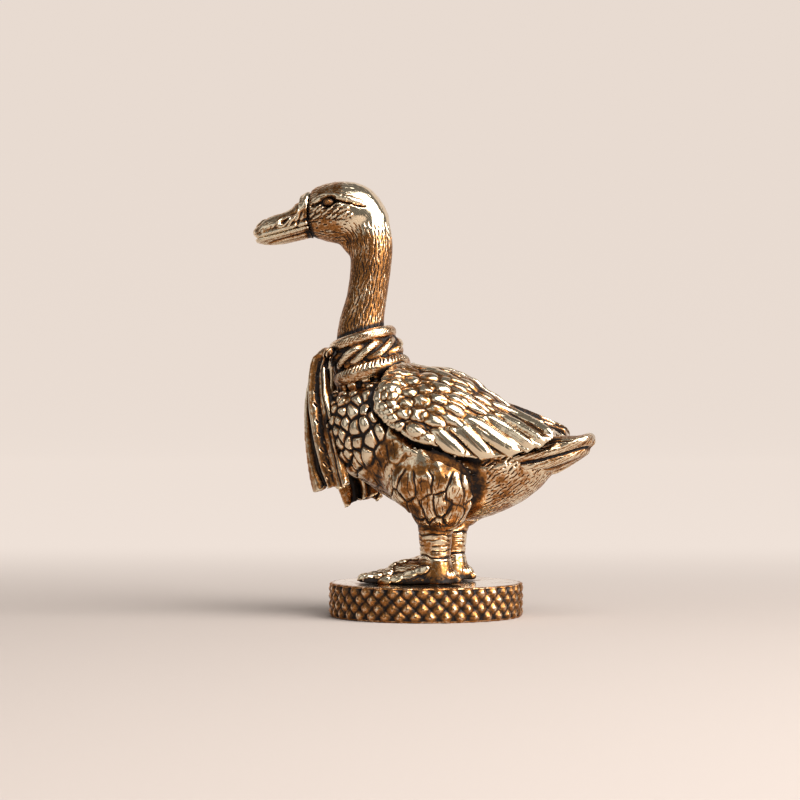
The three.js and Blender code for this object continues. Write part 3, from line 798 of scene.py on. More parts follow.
def make_body(plumage, material):
    """Breast with pebbled feathers, hair-fine belly strokes, and scales along the back."""
    skin = cast_node("body", grain=0.42, relax=14, levels=2)
    relief = Relief(skin)
    x, _, z = skin.points.T
    level = relief.normals[:, 2]
    upright = 1 - fade(level, 0.3, 0.7)
    rear = fade(x, 2.0, 4.0)
    by_wing = closeness(skin.points, WINGS, 1.2)
    by_leg = closeness(skin.points, LEGS, 1.8)

    # Seams along the wings and behind the legs, and a fillet in front of the legs
    fillet = (1 - rear) * smooth_step(1.2 * by_leg - 0.2) * (1 - smooth_step(1.5 * by_wing))
    relief.add(-0.40 * upright * smooth_step(1.1 * by_wing))
    relief.add(-0.18 * rear * smooth_step(1.3 * by_leg - 0.2))
    relief.add(0.45 * fillet)
    relief.press()

    # Pebbles, bolder towards the front of the breast
    breast = (x < 0.8) & (z > 14.2 - 0.30 * (x + 8)) & (level < 0.75) & (by_wing < 0.8)
    bold = smooth_step((z - 14.4 - 1.35 * (x + 5.2)) / 1.8)
    wander = 0.68 + 0.36 * cloud(skin.points, 2.2, 17)
    spacing = (0.84 + 0.06 * (x + 10.4) + 0.03 * (22 - z)) * wander
    reach = spacing * (0.66 + 0.14 * fade(z, 18.5, 16.5))
    seeds = relief.scatter(breast, spacing, seed=11)
    pebbles = relief.cells(breast, seeds, stretch=1.40, slope=0.45, gap=0.06, bend=0.35,
                           reach=reach)
    relief.add(plumage.breast_height / MM * (0.15 + 0.85 * bold) * pebbles)
    relief.strew(relief.scatter(breast, 0.9, seed=12), DROOP, *BREAST_HAIR)

    # Scales on the back
    for at in relief.scatter((level > 0.55) & (z > 18), 0.95, seed=13):
        relief.stamp(at, (1.0, 0.3 * np.sign(at[1]), -0.2), *BACK_SCALE)

    # Short hairs on belly and flanks, and long ones in front of the legs
    under = ~breast & (z < 21) & (level < 0.75) & (by_leg < 0.3)
    for at in relief.scatter(under, np.where(x < 0, 0.30, 0.42), seed=14):
        rise = np.clip((at[0] - 2.0) / 12.0, -0.6, 0.7)
        forward = (1.0, 0.0, rise + 1.2 * (lattice(at, 8) - 0.5))
        long = 0.16 + 0.45 * lattice(at, 6) ** 2
        if at[0] < 0:
            forward = (0.8, 0.0, -0.55)
            long = 1.3
        depth = plumage.stroke_depth / MM * (0.5 + 1.1 * lattice(at, 9))
        relief.stamp(at, forward, long, 0.07 + 0.05 * lattice(at, 7), cut, -depth)
    relief.press()

    # Painted shade in the slots under the wings and behind the legs. The belly and flanks get random
    # blotches and grow darker towards the bottom; the breast gets a little more patina all over.
    seams = rear * smooth_step(1.4 * by_leg - 0.4) + smooth_step(1.7 * by_wing - 0.7) * upright
    belly = 0.45 * blotches(skin.points, 0.8, 15, 2.4, 18) + 0.10 * fade(z, 13.5, 9.5)
    tone_and_painted_light = 0.30 * seams + np.where(breast, 0.08, belly)
    finish_skin("body", skin, material, [*LEGS, "tail"], tone_and_painted_light)


# Head and neck

def neck_flow(at):
    """Which way the strokes lie: along the middle line of head and neck."""
    line = curve_through(NECK_LINE, 120)
    gap = line - at[[0, 2]]
    nearest = int(np.clip((gap * gap).sum(axis=1).argmin(), 1, len(line) - 2))
    step = line[nearest + 1] - line[nearest - 1]
    return np.array([step[0], 0.0, step[1]])


def press_eye(relief, side):
    """Socket, brow and the dark line through the eye, on one side of the head."""
    at = EYE_AT * [1.0, -side, 1.0]
    relief.stamp(at, BACK, *EYE_SOCKET)
    for along, up in curve_through(BROW, 14):
        relief.stamp(at + [along, 0, up], BACK, *BROW_BEAD)
    for place, (along, up) in enumerate(curve_through(EYE_LINE, 18)):
        relief.stamp(at + [along, 0, up], BACK, 0.55, 0.30 - 0.008 * place, cut, -0.34)


def make_head(plumage, material):
    """Neck with fine vertical strokes, and a head with brow, eye line and stippled cheeks."""
    throat = blob_form((-8.08, 0.0, 38.2), (1.9, 1.35, 0.75), tilt=-0.87)
    skin = cast([node_form("head_and_neck"), throat], grain=0.28, relax=14, levels=2)
    relief = Relief(skin)
    x, _, z = skin.points.T
    polished = (x > -7.4) & (z > 40.2)

    # Feathers below the scarf, and strokes along the neck
    pebble = (0.72, 0.52, dome, 1.5 * plumage.breast_height / MM)
    relief.strew(relief.scatter(z < SCARF_LEVEL, 0.90, seed=20), DROOP, *pebble)
    neck = ~polished & (z > SCARF_LEVEL) & (z < CHIN_LEVEL)
    for at in relief.scatter(neck, 0.44, seed=21):
        size = 0.6 + 0.8 * lattice(at, 2)
        depth = plumage.stroke_depth / MM * (0.6 + 1.0 * lattice(at, 5))
        flow = neck_flow(at)
        sway = 0.7 * (lattice(at, 4) - 0.5) * np.cross(flow, [0.0, 1.0, 0.0])
        relief.stamp(at, flow + sway, 0.44 * size, 0.09, cut, -0.85 * depth)

    # Short strokes on the face, shallow on the crown, and raised ones on the cheeks
    face = ~polished & (z >= CHIN_LEVEL)
    lower_cheek = (z < 40.5) & (x < -8.0)
    for at in relief.scatter(face, np.where(lower_cheek, 0.62, 0.40), seed=22):
        size = 0.7 + 0.6 * lattice(at, 2)
        sway = 0.014 * (lattice(at, 4) - 0.5) * UP
        depth = 0.04 if at[2] > 43.2 else 0.085
        relief.stamp(at, neck_flow(at) * [-1, 1, -1] + sway, 0.30 * size, 0.10, cut, -depth)
    cheek = (z > 41.0) & (z < 42.2) & (x < -7.4) & (x > -11.8)
    relief.strew(relief.scatter(cheek, 0.46, seed=23), (0.8, 0.0, 0.45), *CHEEK_STIPPLE)

    # Hair lines on the polished back of the head
    for at in relief.scatter(polished, 0.75, seed=24):
        relief.stamp(at, neck_flow(at), *HEAD_HAIR)
    for side in (-1, 1):
        press_eye(relief, side)
    relief.press()

    # The back of the head is rubbed bright and has a painted highlight
    rubbed = fade(x, -8.9, -7.7) * fade(z, 38.5, 40.5)
    crown = fade(z, 42.9, 43.5) * fade(x, -7.6, -8.4)
    extra = 0.14 * fade(z, 40.5, 39.0) - 0.35 * rubbed - 0.15 * cheek
    extra -= 0.5 * crown * (cloud(skin.points, 0.9, 25) - 0.25)
    finish_skin("head_and_neck", skin, material, extra=extra)


def make_eyes(material):
    """Two bright beads, each with a ring cut round its middle."""
    rounds = 40
    rows = 24
    tilt = math.pi * np.arange(rows + 1)[:, None] / rows
    angle = 2 * math.pi * np.arange(rounds) / rounds
    size = 1.02 - 0.05 * bell(tilt - 0.75, 0.12) - 0.10 * bell(tilt, 0.22)
    for side, name in zip((-1, 1), EYES):
        low, high = node_box(name)
        along = size * np.sin(tilt) * np.cos(angle)
        out = size * side * np.cos(tilt) + 0 * angle
        up = size * np.sin(tilt) * np.sin(angle)
        local = np.stack([along, out, up], axis=2).reshape(-1, 3)
        points = (low + high) / 2 + local * (high - low) / 2
        faces = [face[::-1] if side < 0 else face for face in grid_faces(rows + 1, rounds)]
        reach = np.hypot(local[:, 0], local[:, 2])
        patina = np.clip(0.30 + 0.4 * bell(reach - 0.68, 0.14) + 0.4 * (reach > 0.85), 0, 1)
        make_piece(f"{name}_bead", points, faces, patina, material, [name])


# Bill

def above_mouth(points):
    """How far points lie above the line of the mouth."""
    side = points[:, [0, 2]] - MOUTH_AT
    return side[:, 1] * math.cos(MOUTH_SLOPE) - side[:, 0] * math.sin(MOUTH_SLOPE)


def press_nostril(relief, tree, side):
    """A rimmed nostril with a fold behind it and wrinkles before it, on one side of the bill."""
    slope = np.array([-1.0, 0.0, -0.75])
    steep = (0.55, 0.0, 0.9)
    nostril = side_hit(tree, *NOSTRIL, side)
    relief.stamp(nostril + 0.16 * unit(slope), slope, *NOSTRIL_RIM)
    relief.stamp(nostril, slope, *NOSTRIL_HOLE)
    fold = [side_hit(tree, *place, side) for place in curve_through(BILL_FOLD, 7)]
    relief.strew(fold, steep, *BILL_BEAD)
    wrinkles = [side_hit(tree, *place, side) for place in BILL_WRINKLES]
    relief.strew(wrinkles, steep, *BILL_WRINKLE)


def make_upper_bill(material):
    """The upper half, with a lip, a knob at the brow, a dished back, nostrils and a nail."""
    skin = cast_node("upper_bill", grain=0.12, relax=6)
    x, _, z = skin.points.T

    # A longer tip: x is a view of the points, so this moves the skin
    x -= 0.15 * fade(x, -16.0, -17.8)
    relief = Relief(skin)
    tree = skin.tree()
    lift = above_mouth(skin.points)

    relief.add(0.13 * bell(lift - 0.22, 0.16) * fade(x, -18.0, -17.2))
    relief.add(-0.10 * bell(lift - 0.62, 0.14) * fade(x, -17.2, -16.4))
    relief.add(0.22 * bell(x + 12.55, 0.40) * fade(lift, 1.4, 2.2))
    relief.add(-0.55 * fade(x, -13.2, -13.55) * fade(x, -16.6, -14.2) * fade(lift, 0.9, 1.8))
    relief.add(-0.16 * bell(x + 12.95 - 0.35 * (z - 41.5), 0.16) * fade(lift, 1.9, 1.3))
    for side in (-1, 1):
        press_nostril(relief, tree, side)
    nail = top_hit(tree, -17.7, 0.0)
    relief.stamp(nail, BACK, *NAIL)
    relief.stamp(nail, BACK, *NAIL_EDGE)
    relief.strew(relief.scatter(lift > 0.5, 0.42, seed=31), (1.0, 0.0, 0.45), *UPPER_BILL_HAIR)
    relief.press()
    # The knob is rubbed bright and has a painted highlight
    rubbed = -0.25 * bell(x + 12.5, 0.45) * fade(lift, 1.2, 1.8) - 0.14
    finish_skin("upper_bill", skin, material, ["lower_bill"], rubbed)


def make_lower_bill(material):
    """The lower half, with a lip and one long groove."""
    skin = cast_node("lower_bill", grain=0.12, relax=6)
    x = skin.points[:, 0]

    # A longer tip, as on the upper half
    x -= 0.45 * fade(x, -15.8, -17.6)
    relief = Relief(skin)
    lift = above_mouth(skin.points)
    relief.add(0.08 * bell(lift + 0.25, 0.14))
    relief.add(-0.14 * bell(lift + 0.72, 0.12) * fade(x, -17.0, -16.0))
    relief.strew(relief.scatter(lift < -0.4, 0.5, seed=32), (1.0, 0.0, 0.2), *LOWER_BILL_HAIR)
    relief.press()
    finish_skin("lower_bill", skin, material, ["upper_bill"], -0.08)


# Wings

def cast_wing():
    """The left wing, with its front set back, its top lowered and its lower edge evened."""
    skin = cast_node("left_wing", grain=0.15, relax=5)

    # These are views of the points, so changing them moves the skin
    x, _, z = skin.points.T
    x += 0.85 * fade(x, 0.5, -4.5)
    z -= 0.5 * fade(z, 22.0, 23.5) * bell(x - 5.0, 2.2)
    lip = np.interp(x, *np.array(WING_LIP).T)
    z += 0.55 * np.maximum(lip - z, 0.0)
    return skin


def press_coverts(relief, tree, height):
    """Rows of outlined coverts, each row set half a step on from the last."""
    for order, (upper, lower, half_length, half_width) in enumerate(COVERT_ROWS):
        down = np.array(lower) - np.array(upper)
        count = max(2, round(np.linalg.norm(down) / (1.62 * half_width)))
        for i in range(count + order % 2):
            share = (i + 0.5 * (1 - order % 2)) / count
            spot = np.array(upper) + down * share
            stray = np.array([lattice(spot[[0, 1, 0]], 1), lattice(spot[[1, 0, 1]], 2)]) - 0.5
            at = side_hit(tree, *(spot + 0.25 * stray))
            if at is None:
                continue
            size = 0.92 + 0.2 * lattice(at, 4)
            long = half_length * size
            wide = half_width * size
            forward = (1.0, 0.0, -0.15 - 0.32 * share - 0.03 * order)
            relief.stamp(at, forward, long, wide, covert, height)
            relief.stamp(at, forward, 1.36 * long, 1.36 * wide, ring, -0.11)


def press_long_feathers(relief, tree):
    """Broader backs on the long feathers, each with a fine cut along its middle."""
    for root, tip in LONG_FEATHERS:
        along = np.array(tip) - np.array(root)
        forward = (along[0], 0.0, along[1])
        for share in np.linspace(0.15, 0.92, 20):
            at = side_hit(tree, *(np.array(root) + along * share))
            if at is not None:
                relief.stamp(at, forward, *FEATHER_BACK)
                relief.stamp(at, forward, *FEATHER_SHAFT)


def make_wings(plumage, material):
    """Wings with small shoulder scales, longer coverts, and long flight feathers to the tip."""
    skin = cast_wing()
    relief = Relief(skin)
    tree = skin.tree()
    x, _, z = skin.points.T
    height = plumage.covert_height / MM
    outer = fade(-relief.normals[:, 1], 0.1, 0.5)
    relief.add(0.30 * outer * fade(x, -0.5, -2.5))
    relief.press()

    for at in relief.scatter((x < -0.9) & (outer > 0.2), 0.66, seed=42):
        size = 0.85 + 0.4 * lattice(at, 3)
        swirl = (0.5 - (at[2] - 22.2), 0.0, at[0] + 2.2)
        relief.stamp(at, swirl, 0.58 * size, 0.44 * size, covert, 0.85 * height)
    press_coverts(relief, tree, height)
    top = relief.scatter((relief.normals[:, 2] > 0.6) & (z > 20), 1.15, seed=41)
    relief.strew(top, (1.0, -0.12, -0.25), 1.45, 0.62, covert, 0.8 * height)
    press_long_feathers(relief, tree)
    relief.press()

    # Painted light: the outer long feathers rubbed bright with a painted highlight, the outer side a
    # little lighter, and painted shade on the inner side near the tips and on the tops far back
    rubbed = fade(x, 1.5, 4.5) * fade(z, 21.5, 19.5) * outer
    inside = fade(relief.normals[:, 1], 0.15, 0.55) * fade(x, 4.0, 7.0)
    inside += 0.7 * fade(relief.normals[:, 2], 0.62, 0.82) * fade(x, 7.5, 9.5)
    tone_and_painted_light = 0.55 * inside - 0.22 * rubbed - 0.10 * outer
    finish_pair("wing", skin, material, extra=tone_and_painted_light)


# Tail

def make_tail(material):
    """A dished fan of feathers with a thick rolled rim, over layers that run on from the belly."""
    forms = [node_form("tail"), tube_form(TAIL_KEEL, LAYER_RADII)]
    for side in (-1, 1):
        forms.append(tube_form(on_side(TAIL_RIM, side), RIM_RADII))
        forms += [tube_form(on_side(layer, side), LAYER_RADII) for layer in TAIL_LAYERS]
    skin = cast(forms, grain=0.16, relax=10)
    relief = Relief(skin)
    x, y, z = skin.points.T

    # The dish on top, with grooves between its feathers
    above = fade(relief.normals[:, 2], 0.2, 0.7)
    feather_width = 0.62
    ridge = np.abs((y / feather_width) % 1.0 - 0.5)
    relief.add(-0.35 * above * bell(y, 1.5) * fade(x, 17.2, 15.7))
    relief.add(-0.16 * above * fade(ridge, 0.2, 0.0) * fade(x, 16.5, 15.5))

    # The groove under the rim, on both sides
    rim_x, rim_y, rim_z = np.array(TAIL_RIM).T
    half_way = 0.5 * np.maximum(np.interp(x, rim_x, rim_y), 1.4)
    outside = smooth_step((np.abs(y) - half_way) / 0.4)
    groove = outside * bell(z - np.interp(x, rim_x, rim_z) + 0.70, 0.13) * fade(x, 10.0, 11.5)
    relief.add(-0.16 * groove)
    everywhere = np.ones(len(skin.points), bool)
    relief.strew(relief.scatter(everywhere, 0.42, seed=51), (1.0, 0.0, 0.36), *TAIL_HAIR)
    relief.press()
    # Painted shade on the top between the wings, and patina in the groove under the rim
    tone_and_painted_light = 0.45 * above * bell(y, 1.8) * fade(x, 16.0, 14.5) + 0.30 * groove + 0.05
    finish_skin("tail", skin, material, ["body"], tone_and_painted_light)


# Legs

def cast_leg():
    """The left leg, with the foot's heel, instep, outer wall and sole filled out."""
    heel = blob_form((2.5, -3.5, 4.45), (1.75, 1.35, 0.85))
    instep = blob_form((-0.2, -3.5, 4.75), (2.9, 1.45, 1.15))
    wall = tube_form(FOOT_WALL, (0.30, 0.45, 0.70, 0.85))
    sole = tube_form(FOOT_SOLE, (0.28, 0.34, 0.38, 0.38))
    skin = cast([node_form("left_leg"), heel, instep, wall, sole], grain=0.16, relax=10)
    skin.points[:, 2] = np.maximum(skin.points[:, 2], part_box("left_leg")[0][2] / MM)
    return skin


def press_thigh(relief, tree, thigh, z, lobe_height):
    """Lobes that show in patches, with fine cuts that run towards the knee."""
    hits = [side_hit(tree, *place) for place in THIGH_LOBES]
    seeds = np.array([hit for hit in hits if hit is not None])
    reach = np.full(len(z), 2.6)
    lobes = relief.cells(thigh, seeds, stretch=1.5, slope=0.55, gap=0.02, bend=0.9, reach=reach)
    patches = 0.25 + 0.75 * smooth_step(2.2 * cloud(relief.skin.points, 1.5, 21) - 0.55)
    relief.add(lobe_height * fade(z, 15.6, 14.4) * fade(z, 9.2, 10.1) * patches * lobes)
    for at in relief.scatter(thigh & (z < 14.6), 0.6, seed=62):
        forward = unit(KNEE - at) + 0.8 * (lattice(at, 6) - 0.5) * BACK
        relief.stamp(at, forward, 0.30 + 0.4 * lattice(at, 7), 0.07, cut, -0.06)


def press_shank(relief, z):
    """Broken, wavering wrinkles round the shank, and a few deeper rings."""
    wobble = cloud(relief.skin.points, 0.9, 4) - 0.5
    pitch = 0.52
    wave = np.abs(((z + 0.30 * wobble) / pitch) % 1.0 - 0.5)
    broken = smooth_step(2.4 * cloud(relief.skin.points, 0.7, 9) - 0.8)
    relief.add(-0.09 * fade(z, 4.9, 5.5) * fade(z, 9.9, 9.1) * bell(wave, 0.13) * broken)
    for height, depth in SHANK_RINGS:
        relief.add(-depth * bell(z + 0.5 * wobble - height, 0.10))


def press_foot(relief, tree, z):
    """Knuckled toes and a finely cut web. Gives 1 on the toes and 0 elsewhere."""
    for reach, sideways in TOES:
        for share in np.linspace(0.28, 0.95, 6):
            at = top_hit(tree, ANKLE[0] + reach * share, ANKLE[1] + sideways * share)
            if at is not None and at[2] <= 7.5:
                relief.stamp(at, (reach, sideways, 0.0), *TOE_KNUCKLE)
    knuckles = [side_hit(tree, *place) for place in OUTER_KNUCKLES]
    relief.strew(knuckles, (-1.0, 0.0, -0.3), *OUTER_KNUCKLE)
    for at in relief.scatter((z < 5.4) & (relief.normals[:, 2] > 0.4), 0.32, seed=63):
        forward = (at[0] - ANKLE[0] - 1.0, at[1] - ANKLE[1], 0.0)
        relief.stamp(at, forward, *WEB_HAIR)
    return smooth_step(relief.raised / 0.2) * (z < 5.5)


def make_legs(plumage, material):
    """Lobed thighs, wrinkled shanks and webbed feet with knuckled toes."""
    skin = cast_leg()
    relief = Relief(skin)
    tree = skin.tree()
    x, _, z = skin.points.T
    rear = fade(x, 0.5, 2.5)
    by_body = closeness(skin.points, ["body"], 1.5)
    thigh = (z > 9.6) & (relief.normals[:, 1] < 0.5)
    relief.add(-0.42 * rear * smooth_step(1.15 * by_body - 0.1))
    relief.add(0.12 * (1 - rear) * smooth_step(2.0 * by_body - 1.0))
    relief.press()
    press_thigh(relief, tree, thigh, z, plumage.lobe_height / MM)
    press_shank(relief, z)
    toes = press_foot(relief, tree, z)
    relief.press()

    # Darker and grainy low on the foot away from the knuckles, darker on the front toes and round the
    # knee. Knuckles rubbed bright with painted highlights, painted shade behind the thigh, and a
    # painted highlight on its top
    top = fade(z, 14.6, 16.2)
    grainy_tone = 0.32 + 0.5 * (cloud(skin.points, 0.14, 20) - 0.5)
    tone_and_painted_light = grainy_tone * fade(z, 4.9, 4.0) * (1 - toes) - 0.35 * toes
    tone_and_painted_light += 0.45 * fade(x, -2.6, -3.6) * fade(z, 5.0, 4.5)
    tone_and_painted_light += 0.25 * rear * smooth_step(1.6 * by_body - 0.6) + 0.15 * bell(z - 9.2, 1.1) - 0.22 * top
    mottle = 0.40 * fade(z, 5.5, 6.5) * blotches(skin.points, 0.8, 16, 2.2, 19)
    tone_and_painted_light += (0.12 * fade(z, 9.0, 10.0) + mottle) * (1 - top)
    finish_pair("leg", skin, material, ["body"], tone_and_painted_light)


# Scarf

def scarf_place(angle, radius, height):
    """Points round the scarf's tilted ring."""
    angle, radius, height = (np.asarray(part)[..., None] for part in (angle, radius, height))
    outward = np.array([math.cos(SCARF_TILT), 0.0, math.sin(SCARF_TILT)])
    axis = np.array([-math.sin(SCARF_TILT), 0.0, math.cos(SCARF_TILT)])
    level = np.cos(angle) * outward + np.sin(angle) * np.array([0.0, 1.0, 0.0])
    return SCARF_CENTRE + radius * level + height * axis


def ring_tube(radius, height, half_depth, half_height, coil=0.0, twists=0, phase=0.0, around=220):
    """A closed tube round the scarf's ring. With a coil, its middle circles as it goes round."""
    sides = 16
    angle = 2 * math.pi * np.arange(around)[:, None] / around
    side = 2 * math.pi * np.arange(sides)[None, :] / sides
    turn = twists * angle + phase
    out = radius + 0.80 * coil * np.cos(turn) + half_depth * np.cos(side)
    up = height + coil * np.sin(turn) + half_height * np.sin(side)
    return scarf_place(angle, out, up).reshape(-1, 3), grid_faces(around, sides, closed=True)


def make_scarf_band(knit, material):
    """A rolled rib above and below a twisted cable."""
    coil = knit.cable_coil / MM
    strand = knit.strand_radius / MM
    forms = [
        ring_tube(2.85, 0.0, 0.36, 2.0),
        ring_tube(3.04, 1.66, 0.56, 0.64),
        ring_tube(3.46, -1.80, 0.62, 0.84),
    ]
    for i in range(knit.strands):
        phase = 2 * math.pi * i / knit.strands
        forms.append(ring_tube(3.10, 0.02, strand, strand, coil, knit.cable_twists, phase, 360))
    skin = cast(forms, grain=0.13, relax=4)
    relief = Relief(skin)

    # Slanted ticks on both ribs
    ticks = 52
    for i in range(ticks):
        angle = 2 * math.pi * (i + 0.3 * lattice(np.array([i, 1, 2]), 1)) / ticks
        at = scarf_place(angle, 3.95, -1.28)
        after = scarf_place(angle + 0.06, 3.8, -0.85)
        relief.stamp(at, after - at, *LOWER_RIB_TICK)
        at = scarf_place(angle, 3.55, 1.66)
        after = scarf_place(angle + 0.22, 3.55, 2.1)
        relief.stamp(at, after - at, *UPPER_RIB_TICK)
    for at in relief.scatter(np.ones(len(skin.points), bool), 0.5, seed=71):
        around = np.cross(at - SCARF_CENTRE, UP)
        relief.stamp(at, around + 0.3 * UP, *SCARF_HAIR)
    relief.press()
    finish_skin("scarf_band", skin, material)


def strip_places(points, side):
    """Where points lie on a hanging end: across it from -1 to 1, and down it in millimetres."""
    slices = 24
    wide = points @ unit(np.array([0.87, side * 0.5, 0.0]))
    down = points[:, 2].max() - points[:, 2]
    slice_of = np.minimum((down / down.max() * slices).astype(int), slices - 1)
    parts = [wide[slice_of == i] for i in range(slices)]
    middle = np.array([(part.max() + part.min()) / 2 for part in parts])
    half = np.array([(part.max() - part.min()) / 2 for part in parts])
    place = (np.arange(slices) + 0.5) / slices * down.max()
    fit_middle = np.polyval(np.polyfit(place, middle, 4), down)
    fit_half = np.polyval(np.polyfit(place, half, 3), down)
    return (wide - fit_middle) / fit_half, down


def make_scarf_end(name, side, material):
    """A hanging end: a narrow fold, a deep crease, a smooth rib, stitches and a rolled edge."""
    fold = tube_form(on_side(END_FOLD, side), (0.45, 0.55, 0.62, 0.6))
    skin = cast([node_form(name), fold], grain=0.14, relax=12)
    across, down = strip_places(skin.points, side)
    skin.points[:, 0] -= 0.9 * smooth_step(across) * smooth_step(1 - down / 6.0)
    skin.points[:, 2] -= 0.6 * smooth_step(-1.2 * across) * smooth_step(1 - down / 1.6)
    relief = Relief(skin)
    length_down = down.max()
    share = down / length_down
    outside = relief.normals[:, 1] * side > 0.2
    sway = across + 0.07 * np.sin(0.7 * down) + 0.16 * (cloud(skin.points, 1.5, 3) - 0.5)

    def line(top, bottom):
        """How far points lie from a line down the end, given where it starts and stops."""
        return sway - top - (bottom - top) * share

    crease = bell(line(-0.95, -0.18), 0.10 + 0.16 * share)
    relief.add(-0.80 * crease)
    relief.add(0.06 * bell(line(-0.48, 0.13), 0.20 - 0.06 * share))
    relief.add(-0.14 * bell(line(0.18, 0.32), 0.13))
    relief.add(0.04 * bell(line(0.62, 0.60), 0.20))
    relief.add(-0.14 * bell(line(0.84, 0.84), 0.06))
    relief.add(0.14 * bell(line(0.96, 0.96), 0.09))
    stitches = 17
    for stitch in range(stitches):
        level = 1.5 + 0.74 * stitch + 0.3 * lattice(np.array([stitch, 1, 2]), 4)
        column = 0.10 + 0.20 * (stitch % 2) + 0.14 * level / length_down
        miss = np.hypot(2.2 * (across - column), down - level)
        at = skin.points[np.where(outside, miss, np.inf).argmin()]
        size = 0.7 + 0.6 * lattice(at, 5)
        relief.stamp(at, (0.7, 0.0, -0.7), 0.40 * size, 0.20, cut, -0.28 * size)
    ends = smooth_step(down / 1.2) * smooth_step((length_down - down) / 0.7)
    relief.raised *= ends
    relief.sunk *= ends
    relief.press()
    # Painted shade on the back of the end, where it hangs against the neck; patina in the crease
    behind = fade(relief.normals[:, 0], 0.2, 0.7) * fade(down, 6.0, 3.0)
    tone_and_painted_light = 0.08 + 0.35 * crease * ends + 0.40 * behind
    finish_skin(name, skin, material, extra=tone_and_painted_light)


# Base

def stud_height(angle, z, studs, rows, low, high):
    """Height from 0 to 1 of the rim's rounded diamonds, each row half a step on from the last."""
    row = (z - low) / (high - low) * rows - 0.5
    tallest = np.zeros(len(angle))
    for near in (math.floor(row), math.ceil(row)):
        if 0 <= near < rows:
            column = angle / (2 * math.pi) * studs + 0.5 * (near % 2)
            across = np.abs(column - np.round(column)) / STUD_REACH[0]
            up = abs(row - near) / STUD_REACH[1]
            tallest = np.maximum(tallest, np.clip(1 - across ** 1.5 - up ** 1.5, 0, 1) ** 0.75)
    return tallest


def rim_row(rim, angle, z, radius, thickness):
    """How far out the base's rim reaches at one height, and its patina there."""
    stud = rim.stud_height / MM
    lip = rim.lip / MM
    bump = stud_height(angle, z, rim.studs, rim.rows, lip, thickness - lip)
    edge = min(1.0, min(z, thickness - z) / EDGE_ROUND)
    reach = radius - stud - EDGE_ROUND * (1 - edge) ** 2 + stud * bump
    patina = np.clip(0.96 - 0.74 * bump, 0.0, 1.0)
    if z > thickness - lip:
        reach = reach + EDGE_ROUND
    if z > thickness - lip or z < lip:
        patina = np.full(len(angle), 0.35)
    return reach, patina


def make_base(rim, material):
    """A disc with a studded rim, a plain lip above and below the studs, and a bright flat top."""
    radius, _, thickness = node_box("base_disc")[1]
    around = int(rim.studs * STUD_POINTS / COARSE)
    angle = 2 * math.pi * np.arange(around) / around
    flat_radius = radius - rim.stud_height / MM

    def flat_row(share, z):
        return np.full(around, share * flat_radius), np.full(around, 0.12), z

    rows = [flat_row(share, 0.0) for share in np.linspace(0.02, 0.97, int(UNDERSIDE_ROWS / COARSE))]
    for z in np.linspace(0.0, thickness, int(RIM_ROWS / COARSE)):
        rows.append((*rim_row(rim, angle, z, radius, thickness), z))
    rows += [flat_row(share, thickness) for share in np.linspace(0.97, 0.02, TOP_ROWS)]
    places = [np.stack([reach * np.cos(angle), reach * np.sin(angle), np.full(around, z)], axis=1)
              for reach, _, z in rows]
    points = np.concatenate(places)
    patina = np.concatenate([tone for _, tone, _ in rows])
    faces = grid_faces(len(rows), around) + end_faces(len(points), around)

    # Hollows in the underside, in which the pins show
    for name in PINS:
        pin_low, pin_high = node_box(name)
        away = np.hypot(*(points - (pin_low + pin_high) / 2)[:, :2].T)
        hole = (points[:, 2] < 0.01) & (away < (pin_high - pin_low)[0] / 2 + 0.08)
        points[hole, 2] = 2 * pin_low[2]
        patina[hole] = 0.9

    # Painted shadow round the feet on the flat top
    flat = np.hypot(points[:, 0], points[:, 1]) < flat_radius
    shade = np.zeros(len(points))
    shade[flat] = closeness(points[flat], LEGS, 1.1)
    patina = np.clip(patina + 0.6 * shade ** 2, 0, 1)
    make_piece("base_cast", points, faces, patina, material, ["base_disc"])


def dress_pins(material):
    """The pins keep their packed form, which only shows from below."""
    for name in PINS:
        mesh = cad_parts[name].data
        mesh.materials.clear()
        mesh.materials.append(material)


# Stage

def make_floor(stage, right, into):
    """A pale floor that curves up into a backdrop."""
    bend_steps = 16
    profile = [(FLOOR_FRONT, 0.0), (FLOOR_REAR, 0.0)]
    for step in range(1, bend_steps + 1):
        turn = math.pi / 2 * step / bend_steps
        away = FLOOR_REAR + BACKDROP_BEND * math.sin(turn)
        profile.append((away, BACKDROP_BEND - BACKDROP_BEND * math.cos(turn)))
    profile.append((FLOOR_REAR + BACKDROP_BEND, BACKDROP_TOP))
    points = []
    for away, up in profile:
        for across in (-STAGE_HALF_WIDTH, STAGE_HALF_WIDTH):
            points.append(right * across + into * away + Vector(UP) * up)
    faces = [[2 * i, 2 * i + 1, 2 * i + 3, 2 * i + 2] for i in range(len(profile) - 1)]
    mesh = bpy.data.meshes.new("floor_and_backdrop")
    mesh.from_pydata([tuple(point) for point in points], [], faces)
    mesh.shade_smooth()
    sheet = stage_finish("pale_sheet", stage.floor_colour, stage.backdrop_colour, tuple(into))
    mesh.materials.append(sheet)
    floor = bpy.data.objects.new("floor_and_backdrop", mesh)
    bpy.context.scene.collection.objects.link(floor)


